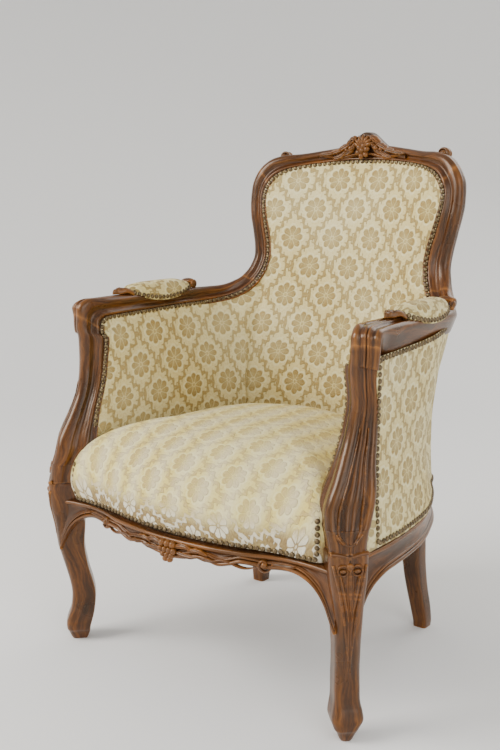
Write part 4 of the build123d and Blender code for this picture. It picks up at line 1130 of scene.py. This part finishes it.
def make_nails(outer):
    """Close nailing along the frame, the seat's front and the outside arms."""
    line, ways = NAILS_3D[:COVER_END + 1], FACE[:COVER_END + 1]
    both = np.concatenate([(line * (-1, 1, 1))[::-1], line[1:]])
    both_ways = np.concatenate([(ways * (-1, 1, 1))[::-1], ways[1:]])
    places, directions = nail_row(both, both_ways)
    put_nails("inside_nail_heads", places, directions, ["inside_nails"])

    half = curve(mm(SEAT_OUTLINE[:8]), 200)
    half = half[(half[:, 1] < -0.2835) & (half[:, 0] < 0.274)]
    front = np.column_stack([half, np.full(len(half), 0.309)])
    column = np.array([(0.277, -0.286, 0.313), (0.2795, -0.2885, 0.345), (0.2775, -0.286, 0.380)])
    line = np.concatenate([front, curve(column, 20)[1:]])
    slope = np.gradient(line, axis=0)
    ways = np.stack([-slope[:, 1] * -1, -np.abs(slope[:, 0]) - 1e-9, np.zeros(len(line))], axis=1)
    ways[len(front) - 4:] = (0.62, -0.78, 0)
    ways /= np.linalg.norm(ways, axis=1)[:, None]
    line = line + ways * 0.002
    both = np.concatenate([(line * (-1, 1, 1))[::-1], line[1:]])
    both_ways = np.concatenate([(ways * (-1, 1, 1))[::-1], ways[1:]])
    places, directions = nail_row(both, both_ways)
    put_nails("seat_nail_heads", places, directions, ["seat_nails"])

    verts = outer
    border = np.concatenate([verts[2, :3:-1], verts[3:-2, 4], verts[-2, 4:]])
    flat = verts.reshape(-1, 3)
    normals = grid_normals(flat, grid_faces(*verts.shape[:2])).reshape(verts.shape)
    normals *= np.sign(normals[40, 30, 0])
    ways = np.concatenate([normals[2, :3:-1], normals[3:-2, 4], normals[-2, 4:]])
    places, directions = nail_row(border + ways * 0.0006, ways)
    put_nails("outside_nail_heads_right", places, directions, ["outside_nails_right"])
    put_nails("outside_nail_heads_left", places * (-1, 1, 1), directions * (-1, 1, 1), ["outside_nails_left"])


# ------------------------------------------------------------------ armrest pads
# (y, middle x, width, height) along the pad
PAD = [(-107, 311, 12, 5), (-102, 311, 25, 14), (-90, 311, 38, 22), (-64, 310, 49, 31), (-34, 310, 54, 36),
       (0, 309, 54, 37), (30, 308, 49, 33), (54, 306, 38, 23), (68, 304, 25, 14), (73, 304, 12, 5)]
PAD_FOOT, PAD_MIDDLE, HOLLOW_RADIUS = 670 * MM, -15 * MM, 250 * MM


def pad_foot(y):
    """Height of the hollow in the arm under the pad."""
    return PAD_FOOT + HOLLOW_RADIUS - np.sqrt(HOLLOW_RADIUS**2 - (y - PAD_MIDDLE) ** 2)


def make_armrest_pads():
    """Padded armrests, pulled tight at the ends, with a row of nails round the foot."""
    rows = curve(mm(PAD), 70)
    rings, feet = [], []
    for y, x, width, height in rows:
        ring = []
        for a in np.linspace(-0.06, 1.06, 30) * pi:
            c, s = cos(a), sin(a)
            ring.append((x + width / 2 * np.sign(c) * abs(c) ** 0.72, y,
                         pad_foot(y) + (max(s, -0.05) * height if s < 0 else height * s ** 0.82)))
        rings.append(ring)
        feet.append((x, y, width))
    rings = np.array(rings)
    flat = rings.reshape(-1, 3)
    lumps = cloth_noise(flat, 0.0012, 30)
    flat[:, 2] += lumps * (flat[:, 2] > pad_foot(flat[:, 1]) + 0.008)
    rings = flat.reshape(rings.shape)
    sizes = np.concatenate([[0], np.cumsum(np.linalg.norm(np.diff(rings[35], axis=0), axis=1))])
    run = rows[:, 0] - rows[0, 0]
    uv = np.stack([np.tile(sizes, len(rings)), np.repeat(run, 30)], axis=1)
    faces = grid_faces(len(rings), 30, wrap=True)
    faces.append(tuple(range(30))[::-1])
    faces.append(tuple((len(rings) - 1) * 30 + k for k in range(30)))
    flat = rings.reshape(-1, 3)
    faces = outward(flat, faces)
    half = np.array(feet)
    ring = np.concatenate([np.column_stack([half[:, 0] + half[:, 2] / 2, half[:, 1]]),
                           np.column_stack([half[:, 0] - half[:, 2] / 2, half[:, 1]])[::-1]])
    ring = np.concatenate([ring, ring[:1]])
    out = ring - np.array([0.309, -0.01])
    out = np.column_stack([np.sign(out[:, 0]) * 1.0, out[:, 1] * 6, np.full(len(out), 0.25)])
    places, directions = nail_row(np.column_stack([ring, pad_foot(ring[:, 1]) + 0.0045]), out)
    for side, sign in (("right", 1), ("left", -1)):
        way = (sign, 1, 1)
        shown = faces if sign > 0 else [f[::-1] for f in faces]
        piece = make_piece(f"armrest_pad_{side}", flat * way, shown, VELVET, uv,
                           [f"armrest_cover_{side}", f"armrest_padding_{side}"])
        put_nails(f"armrest_nail_heads_{side}", places * way, directions * way, [f"armrest_nails_{side}"])


DUST_HEIGHT, DUST_SAG = 0.2765, 0.006


def make_dust_cover():
    """Black lining stretched under the seat rails, hanging a little in the middle."""
    half = curve(mm(SEAT_OUTLINE), 60)
    centre = np.array(SEAT_CENTRE)
    half = centre + (half - centre) * 0.93
    polygon = np.concatenate([half, (half * (-1, 1))[::-1][1:-1]])
    us = np.arange(-0.28, 0.28, 0.008)
    vs = np.arange(-0.31, 0.19, 0.008)
    uv, faces = trimmed_grid(us, vs, polygon, 0.008)
    span = np.minimum(1, np.hypot((uv[:, 0] - centre[0]) / 0.26, (uv[:, 1] - centre[1]) / 0.25))
    verts = np.column_stack([uv, DUST_HEIGHT - DUST_SAG * (1 - span**2)])
    verts[:, 2] += cloth_noise(verts, 0.001, 16)
    if grid_normals(verts, faces)[len(verts) // 2, 2] > 0:
        faces = [f[::-1] for f in faces]
    piece = make_piece("seat_bottom_lining", verts, faces, HIDDEN["lining"], uv, ["dust_cover"])
    thicken(piece, 0.001)


# ------------------------------------------------------------------ the rest of the CAD nodes
def finish_hidden():
    """Hidden frame, webbing, springs and linings keep their CAD shapes and get their own finishes."""
    slots = {s["node"]: s["material_slot"] for s in frame["record"].get("subparts", [])}
    for name, node in frame["nodes"].items():
        material = HIDDEN.get(slots.get(name), WALNUT)
        if material is WALNUT and not node.data.uv_layers.get("run"):
            material = HIDDEN["beech"]
        node.data.materials.clear()
        node.data.materials.append(material)


# ------------------------------------------------------------------ carving
def bead(verts, faces, place, normal, radius, height, around=16, rings=7, squeeze=(1, 1), turn=0.0):
    """A low dome standing on a surface."""
    n = Vector(normal).normalized()
    side = Vector((0, 0, 1)).cross(n)
    side = side.normalized() if side.length > 0.1 else n.orthogonal().normalized()
    up = n.cross(side)
    side, up = side * cos(turn) + up * sin(turn), up * cos(turn) - side * sin(turn)
    start = len(verts)
    for r in range(rings):
        a = -0.5 + (r / rings) * (pi / 2 + 0.5)
        for k in range(around):
            t = 2 * pi * k / around
            verts.append(Vector(place) + (side * cos(t) * squeeze[0] + up * sin(t) * squeeze[1]) * radius * cos(a)
                         + n * height * sin(a))
    verts.append(Vector(place) + n * height)
    faces += grid_faces(rings, around, wrap=True, start=start)
    last = start + (rings - 1) * around
    faces += [(last + k, last + (k + 1) % around, start + rings * around) for k in range(around)]
    faces.append(tuple(start + k for k in range(around))[::-1])


def leaf(verts, faces, spine, widths, normals, height, veins=0, across=11, lobes=0, sink=0.0025):
    """A carved leaf or tendril: a raised strip along a spine, rounded across, with lobes and veins."""
    rows = len(spine)
    spine, normals = np.asarray(spine, float), np.asarray(normals, float)
    ahead = np.gradient(spine, axis=0)
    ahead /= np.linalg.norm(ahead, axis=1)[:, None]
    normals = normals / np.linalg.norm(normals, axis=1)[:, None]
    side = np.cross(ahead, normals)
    side /= np.linalg.norm(side, axis=1)[:, None]
    start = len(verts)
    for i in range(rows):
        t = i / (rows - 1)
        w = widths[i] * (1 + (0.24 * abs(sin(lobes * pi * t)) - 0.12 if lobes else 0))
        for k in range(across):
            c = k / (across - 1) * 2 - 1
            crown = (1 - abs(c) ** 2.4) ** 0.6
            ridge = 0.16 * cos(veins * pi * c) if veins else 0.0
            lift = height * min(1, w / (0.35 * max(widths))) * (crown * (1 + ridge)) - sink
            verts.append(spine[i] + side[i] * c * w / 2 + normals[i] * lift)
    back = len(verts)
    for i in range(rows):
        for c in (1, -1):
            verts.append(spine[i] + side[i] * c * widths[i] * 0.45 - normals[i] * (sink + 0.003))
    faces += grid_faces(rows, across, start=start)
    for i in range(rows - 1):
        a, b = start + i * across, start + (i + 1) * across
        p, q = back + i * 2, back + (i + 1) * 2
        faces += [(a + across - 1, p, q, b + across - 1), (p, p + 1, q + 1, q), (p + 1, a, b, q + 1)]
    faces.append(tuple(start + k for k in range(across))[::-1] + (back + 1, back))
    end = start + (rows - 1) * across
    faces.append(tuple(end + k for k in range(across)) + (back + (rows - 1) * 2, back + (rows - 1) * 2 + 1))


def scroll(centre, axis_u, axis_v, start, turns, large, small, count=46):
    """Points of a spiral in the plane of two directions."""
    points = []
    for i in range(count):
        t = i / (count - 1)
        r = large + (small - large) * t
        a = start + turns * 2 * pi * t
        points.append(np.array(centre) + np.array(axis_u) * r * cos(a) + np.array(axis_v) * r * sin(a))
    return np.array(points)


def taper(count, wide, tip=0.15, tail=0.5, power=0.8):
    """Widths that swell from tail to wide and fall to a tip."""
    t = np.linspace(0, 1, count)
    return wide * np.maximum(np.where(t < 0.35, tail + (1 - tail) * np.sin(t / 0.35 * pi / 2),
                                      tip + (1 - tip) * np.cos((t - 0.35) / 0.65 * pi / 2) ** power), tip)


def carving(name, verts, faces, replaced=(), both=False):
    """A piece of carving in the frame's walnut; both adds its mirror image as a second piece."""
    verts = np.array([tuple(v) for v in verts])
    uv = np.stack([verts[:, 0] + verts[:, 1] * 0.3, verts[:, 2]], axis=1)
    names = ((f"{name}_right", 1), (f"{name}_left", -1)) if both else ((name, 1),)
    for title, sign in names:
        shown = faces if sign > 0 else [f[::-1] for f in faces]
        make_piece(title, verts * (sign, 1, 1), shown, WALNUT, uv, replaced)


def crest_front(x):
    """Depth of the crest rail's face at a place along it."""
    edge = RINGS_EDGE_CREST
    return np.interp(abs(x), edge[:, 0], edge[:, 1])


def crest_top(x):
    """Height of the cresting over the middle of the rail."""
    return 0.966 + 0.030 * np.exp(-(x / 0.036) ** 2) + 0.0145 * np.exp(-(x / 0.066) ** 2)


def make_crest_carving():
    """Cresting: a shell of ribs over a flower, with buds and acanthus sprays to both sides."""
    verts, faces = [], []
    out = np.array([0, -0.96, 0.28])
    # bed that rises out of the rail, so that the carving stands in solid wood
    xs = np.linspace(-0.104, 0.104, 90)
    top = crest_top(xs)
    rows = []
    for x, t in zip(xs, top):
        y = crest_front(x) + 0.004
        low = 0.962 - 0.012 * (x / 0.104) ** 2
        rows.append([(x, y + 0.000, low), (x, y - 0.004, low + 0.004), (x, y - 0.005, (low + t) / 2),
                     (x, y - 0.003, t - 0.003), (x, y + 0.001, t), (x, y + 0.022, t + 0.0005),
                     (x, y + 0.027, t - 0.004), (x, y + 0.028, low)])
    rows = np.array(rows)
    faces += grid_faces(len(rows), 8, wrap=True)
    verts += [tuple(v) for v in rows.reshape(-1, 3)]
    faces += [tuple(range(8)), tuple((len(rows) - 1) * 8 + k for k in range(8))[::-1]]
    y0 = crest_front(0) - 0.003
    # shell: ribs that fan over the flower
    for k in range(7):
        a = pi * (0.12 + 0.76 * k / 6)
        long = 0.021 + 0.004 * sin(a)
        start = np.array([0.004 * cos(a), y0 - 0.006, 0.978 + 0.004 * sin(a)])
        end = np.array([long * cos(a) * 1.25, y0 - 0.002, 0.980 + long * sin(a)])
        line = np.array([start + (end - start) * t + out * 0.005 * sin(pi * t) for t in np.linspace(0, 1, 12)])
        leaf(verts, faces, line, taper(12, 0.0088, 0.3, 0.4), np.tile(out, (12, 1)), 0.0062, across=7)
    # flower: petals round a button
    centre = np.array([0.0, y0 - 0.009, 0.972])
    for k in range(6):
        a = 2 * pi * k / 6 + 0.3
        bead(verts, faces, centre + np.array([cos(a), 0, sin(a)]) * 0.0105, out, 0.0072, 0.0052,
             squeeze=(1.0, 0.8), turn=a)
    bead(verts, faces, centre + out * 0.001, out, 0.0062, 0.0074)
    # buds either side, a curled leaf over each and a long spray of acanthus
    for sign in (-1, 1):
        y1 = crest_front(0.03) - 0.003
        bead(verts, faces, (sign * 0.030, y1 - 0.004, 0.9775), out, 0.0062, 0.0055)
        bead(verts, faces, (sign * 0.0415, y1 - 0.002, 0.9745), out, 0.0048, 0.0045)
        line = scroll((sign * 0.024, y1 - 0.004, 0.983), (sign, 0, 0), (0, 0, 1), 1.9, -0.55, 0.013, 0.006, 22)
        leaf(verts, faces, line, taper(22, 0.0062), np.tile(out, (22, 1)), 0.0055, veins=2)
        for x0, x1, down, wide, curl in ((0.016, 0.046, 0.004, 0.0150, 0.004), (0.034, 0.064, 0.004, 0.0140, 0.004),
                                         (0.052, 0.082, 0.004, 0.0120, 0.003), (0.070, 0.104, 0.004, 0.0095, 0.002),
                                         (0.020, 0.050, 0.015, 0.0130, -0.003), (0.042, 0.072, 0.013, 0.0110, -0.002)):
            line = []
            for t in np.linspace(0, 1, 20):
                x = x0 + (x1 - x0) * t
                z = crest_top(x) - down + curl * sin(pi * t)
                line.append((sign * x, crest_front(x) - 0.0055 + 0.003 * t, z))
            leaf(verts, faces, np.array(line), taper(20, wide, 0.12, 0.3), np.tile(out, (20, 1)), 0.0075,
                 veins=3, lobes=4)
        line = []
        for t in np.linspace(0, 1, 40):
            x = 0.012 + 0.092 * t
            line.append((sign * x, crest_front(x) - 0.003, 0.9635 + 0.0025 * cos(t * 7) - 0.005 * t))
        leaf(verts, faces, np.array(line), taper(40, 0.0068, 0.12, 0.7), np.tile(out, (40, 1)), 0.0046, veins=2)
    carving("crest_carving", verts, faces)


def make_ears():
    """A small scroll bud on each shoulder of the crest."""
    verts, faces = [], []
    centre = np.array([0.192, 0.281, 0.9625])
    out = np.array([-0.25, -0.93, 0.25])
    line = scroll(centre, (0.93, -0.05, -0.35), (0.35, 0.02, 0.93), 3.4, -1.15, 0.0108, 0.0040, 40)
    line -= np.linspace(0.001, 0.006, 40)[:, None] * np.array([0, 1, 0])
    leaf(verts, faces, line, taper(40, 0.0075, 0.45, 0.6), np.tile(out, (40, 1)), 0.0065, veins=0)
    bead(verts, faces, centre - (0, 0.006, 0), out, 0.0068, 0.0058)
    bead(verts, faces, centre + (0, 0.010, 0), (0.25, 0.93, 0.25), 0.0118, 0.009)
    bead(verts, faces, centre + (0.0, 0.002, -0.001), (0, -1, 0.2), 0.0118, 0.006)
    carving("ear_scroll", verts, faces, both=True)


def rail_face(x):
    """Plan depth of the front rail's face."""
    plan = curve(mm(FRONT_RAIL), 200)
    return np.interp(abs(x), plan[:, 0], plan[:, 1])


def make_front_carving():
    """Front rail: a drop of berries and leaves at the middle, sprays to the sides and two scroll buds."""
    verts, faces = [], []
    out = np.array([0, -1, 0.1])
    y0 = rail_face(0)
    for k in range(3):
        bead(verts, faces, (-0.012 + 0.012 * k, y0 - 0.002, 0.2905), out, 0.0066, 0.0070)
    for row, (count, z) in enumerate(((4, 0.2795), (3, 0.2705), (2, 0.2625))):
        for k in range(count):
            bead(verts, faces, ((k - (count - 1) / 2) * 0.0098, y0 - 0.003 + 0.0008 * row, z), out, 0.0058, 0.0062)
    for sign in (-1, 1):
        for x0, z0, x1, z1, wide, bend in ((0.016, 0.287, 0.054, 0.2865, 0.0115, 0.005), (0.020, 0.278, 0.066, 0.2785, 0.0105, -0.003),
                                           (0.044, 0.286, 0.086, 0.2830, 0.0095, 0.004), (0.062, 0.279, 0.105, 0.2775, 0.0075, -0.002)):
            line = []
            for t in np.linspace(0, 1, 24):
                x = x0 + (x1 - x0) * t
                line.append((sign * x, rail_face(x) - 0.0005, z0 + (z1 - z0) * t + bend * sin(pi * t)))
            leaf(verts, faces, np.array(line), taper(24, wide, 0.12, 0.4), np.tile(out, (24, 1)), 0.0062, veins=3, lobes=4)
        line = []
        for t in np.linspace(0, 1, 44):
            x = 0.092 + 0.080 * t
            line.append((sign * x, rail_face(x) - 0.0005, 0.2755 + 0.0045 * sin(t * 6.3) + 0.003 * t))
        leaf(verts, faces, np.array(line), taper(44, 0.0060, 0.2, 0.5), np.tile(out, (44, 1)), 0.0042, veins=0)
        x = 0.184
        y = rail_face(x)
        way = np.array([sign * 0.35, -0.93, 0.05])
        line = scroll((sign * x, y - 0.001, 0.2830), (sign * 0.93, 0.35, 0), (0, 0, 1), -0.6, -0.8, 0.0125, 0.0055, 34)
        leaf(verts, faces, line, taper(34, 0.0062, 0.4, 0.4), np.tile(way, (34, 1)), 0.0050)
        bead(verts, faces, (sign * x, y - 0.001, 0.2830), way, 0.0058, 0.0056)
        line = []
        for t in np.linspace(0, 1, 24):
            xx = 0.196 + 0.045 * t
            line.append((sign * xx, rail_face(xx) - 0.0005, 0.2850 - 0.001 * sin(t * pi) + 0.003 * t))
        leaf(verts, faces, np.array(line), taper(24, 0.0075, 0.1, 0.6), np.tile([sign * 0.35, -0.93, 0.05], (24, 1)), 0.0042,
             veins=2, lobes=2)
    carving("front_rail_carving", verts, faces)


def leg_face(z, share):
    """A place on the front face of the right leg or post: share runs -1 to 1 across it."""
    rows = np.array([r for r in LEG if r[0] <= 335] + [r for r in POST if r[0] > 335], float)
    cx, cy, across, along = (np.interp(z / MM, rows[:, 0], rows[:, i]) * MM for i in (1, 2, 3, 4))
    middle = np.array([cx, cy, z]) + DIAGONAL_OUT * along / 2
    return middle + DIAGONAL_FACE * (-share) * across / 2


def make_knee_carving():
    """Knee: two eyelets and a flute between leaves; above the seat line a ledge and a reeded tongue."""
    verts, faces = [], []
    out = DIAGONAL_OUT
    for sign in (-1, 1):
        eye = leg_face(0.309, sign * 0.36) + out * 0.0003
        u = -DIAGONAL_FACE * sign
        line = scroll(eye, u, (0, 0, 1), 2.6, -0.95, 0.0095, 0.0065, 30)
        leaf(verts, faces, line, taper(30, 0.0050, 0.4, 0.5), np.tile(out, (30, 1)), 0.0042)
        bead(verts, faces, eye, out, 0.0042, 0.0030, squeeze=(1.3, 0.8))
        # long flute edges that run down the knee
        line = []
        for t in np.linspace(0, 1, 60):
            z = 0.318 - 0.205 * t
            share = sign * (0.84 - 0.74 * min(1, t * 1.15) ** 0.8)
            line.append(leg_face(z, share) + out * 0.0002)
        leaf(verts, faces, np.array(line), taper(60, 0.0058, 0.15, 0.8), np.tile(out, (60, 1)), 0.0034)
        line = [leg_face(0.300 - 0.085 * t, sign * (0.50 - 0.42 * t)) + out * 0.0002 for t in np.linspace(0, 1, 30)]
        leaf(verts, faces, np.array(line), taper(30, 0.0090, 0.1, 0.5), np.tile(out, (30, 1)), 0.0040, veins=2)
        # arched ledge at the top of the leg
        line = [leg_face(0.329 + 0.007 * sin(pi * (t * 0.5 + 0.5)), sign * (0.98 * (1 - t))) + out * 0.001
                for t in np.linspace(0, 1, 26)]
        leaf(verts, faces, np.array(line), np.full(26, 0.0070), np.tile(out, (26, 1)), 0.0048)
    line = [leg_face(0.312 - 0.075 * t, 0.0) + out * 0.0004 for t in np.linspace(0, 1, 30)]
    leaf(verts, faces, np.array(line), taper(30, 0.0085, 0.1, 0.6), np.tile(out, (30, 1)), 0.0052, veins=0)
    bead(verts, faces, leg_face(0.316, 0.0), out, 0.0060, 0.0050)
    # round-ended tongue at the foot of the post
    loop = []
    for t in np.linspace(0, 1, 60):
        a = pi * t
        share, z = -0.50 * cos(a), 0.372 - 0.024 * sin(a)
        loop.append(leg_face(z, share) + out * 0.0004)
    for t in np.linspace(0, 1, 40)[1:]:
        loop.append(leg_face(0.372 + 0.150 * t, 0.50 - 0.22 * t) + out * 0.0004)
    start = [leg_face(0.522 - 0.150 * t, -0.28 - 0.22 * t) + out * 0.0004 for t in np.linspace(0, 1, 40)][:-1]
    line = np.array(start + loop)
    leaf(verts, faces, line, taper(len(line), 0.0052, 0.3, 0.3, 0.3), np.tile(out, (len(line), 1)), 0.0036)
    for sign in (-1, 1):
        line = [leg_face(0.366 - 0.016 * t, sign * (0.60 - 0.30 * t)) + out * 0.0006 for t in np.linspace(0, 1, 20)]
        leaf(verts, faces, np.array(line), taper(20, 0.0075, 0.2, 0.5), np.tile(out, (20, 1)), 0.0045, veins=2)
    carving("knee_carving", verts, faces, both=True)


def make_arm_carving():
    """Leaf tips in front of and behind each armrest pad."""
    verts, faces = [], []
    up = np.array([0, 0, 1.0])
    for sign, y0, long in ((-1, -0.100, 0.044), (1, 0.066, 0.034)):
        for off, size in ((-0.013, 0.8), (0.0, 1.0), (0.013, 0.8)):
            line = []
            for t in np.linspace(0, 1, 26):
                line.append((0.3095 + off * (1 - 0.75 * t), y0 + sign * long * t * size,
                             0.687 + 0.0075 * sin(pi * min(1, t * 1.3) * 0.75)))
            leaf(verts, faces, np.array(line), taper(26, 0.017, 0.12, 0.7), np.tile(up, (26, 1)), 0.0062, veins=3)
    line = scroll((0.3065, 0.083, 0.693), (0, 1, 0), (0, 0, 1), 2.7, -0.9, 0.011, 0.005, 36)
    leaf(verts, faces, line, np.full(36, 0.028), np.array([(0, p[1] - 0.083, p[2] - 0.693) for p in line]), 0.0045, across=13)
    bead(verts, faces, (0.3065 - 0.014, 0.083, 0.693), (-1, 0, 0), 0.0095, 0.0040)
    bead(verts, faces, (0.3065 + 0.014, 0.083, 0.693), (1, 0, 0), 0.0095, 0.0040)
    carving("armrest_leaf", verts, faces, both=True)


# ------------------------------------------------------------------ camera, light and floor
CAMERA_PLACE = (1.1289, -1.5738, 0.8939)
CAMERA_AZIMUTH, CAMERA_DOWN, LENS = 37.44, 10.425, 48.58


FLOOR_REACH = 5.8


def make_stage():
    """Plain pale floor that curves up into a backdrop, soft studio light and the camera."""
    mesh = bpy.data.meshes.new("floor")
    reach = np.array([0.5, 1.0, 2.2, *np.linspace(2.4, FLOOR_REACH, 40)])
    rise = 0.25 * np.maximum(reach - 2.2, 0) ** 2
    turn = np.linspace(0, 2 * pi, 96, endpoint=False)
    verts = [(r * cos(a), r * sin(a), z) for r, z in zip(reach, rise) for a in turn]
    faces = grid_faces(len(reach), len(turn), wrap=True) + [tuple(range(len(turn)))[::-1]]
    mesh.from_pydata(verts, [], [tuple(int(k) for k in f) for f in faces])
    mesh.polygons.foreach_set("use_smooth", [True] * len(mesh.polygons))
    floor = bpy.data.objects.new("floor", mesh)
    bpy.context.scene.collection.objects.link(floor)
    material, tree, shader = node_material("pale_floor")
    shader.inputs["Base Color"].default_value = (0.90, 0.895, 0.88, 1)
    shader.inputs["Roughness"].default_value = 0.85
    mesh.materials.append(material)
    world = bpy.data.worlds.new("studio")
    bpy.context.scene.world = world
    world.use_nodes = True
    background = world.node_tree.nodes["Background"]
    background.inputs["Color"].default_value = (0.93, 0.92, 0.90, 1)
    background.inputs["Strength"].default_value = 0.74
    lamps = [("key", (-1.9, -2.4, 2.6), 1.9, 135, (1.0, 0.97, 0.93)),
             ("fill", (2.8, -1.4, 1.9), 2.4, 42, (0.95, 0.97, 1.0)),
             ("back", (0.4, 2.6, 2.4), 2.0, 30, (1.0, 0.98, 0.96))]
    for name, place, size, power, colour in lamps:
        lamp = bpy.data.lights.new(name, "AREA")
        lamp.size, lamp.energy, lamp.color = size, power, colour
        item = bpy.data.objects.new(name, lamp)
        item.location = place
        item.rotation_euler = (Vector((0, 0, 0.5)) - Vector(place)).to_track_quat("-Z", "Y").to_euler()
        bpy.context.scene.collection.objects.link(item)
    camera = bpy.data.cameras.new("camera")
    camera.lens, camera.sensor_width = LENS, 36
    item = bpy.data.objects.new("camera", camera)
    item.location = CAMERA_PLACE
    item.rotation_euler = (radians(90 - CAMERA_DOWN), 0, radians(CAMERA_AZIMUTH))
    bpy.context.scene.collection.objects.link(item)
    bpy.context.scene.camera = item


make_stage()
finish_hidden()
make_frame()
make_rear_legs()
make_rails()
make_inside_cover()
make_seat()
outer_grid = make_outside_arms()
make_outside_back()
make_armrest_pads()
make_dust_cover()
make_nails(outer_grid)
RINGS_EDGE_CREST = np.array([((a + b) / 2)[:2] for a, b in zip(NAIL_LINE[:CREST_END + 1], EDGE_LINE[:CREST_END + 1])])
make_crest_carving()
make_ears()
make_front_carving()
make_knee_carving()
make_arm_carving()
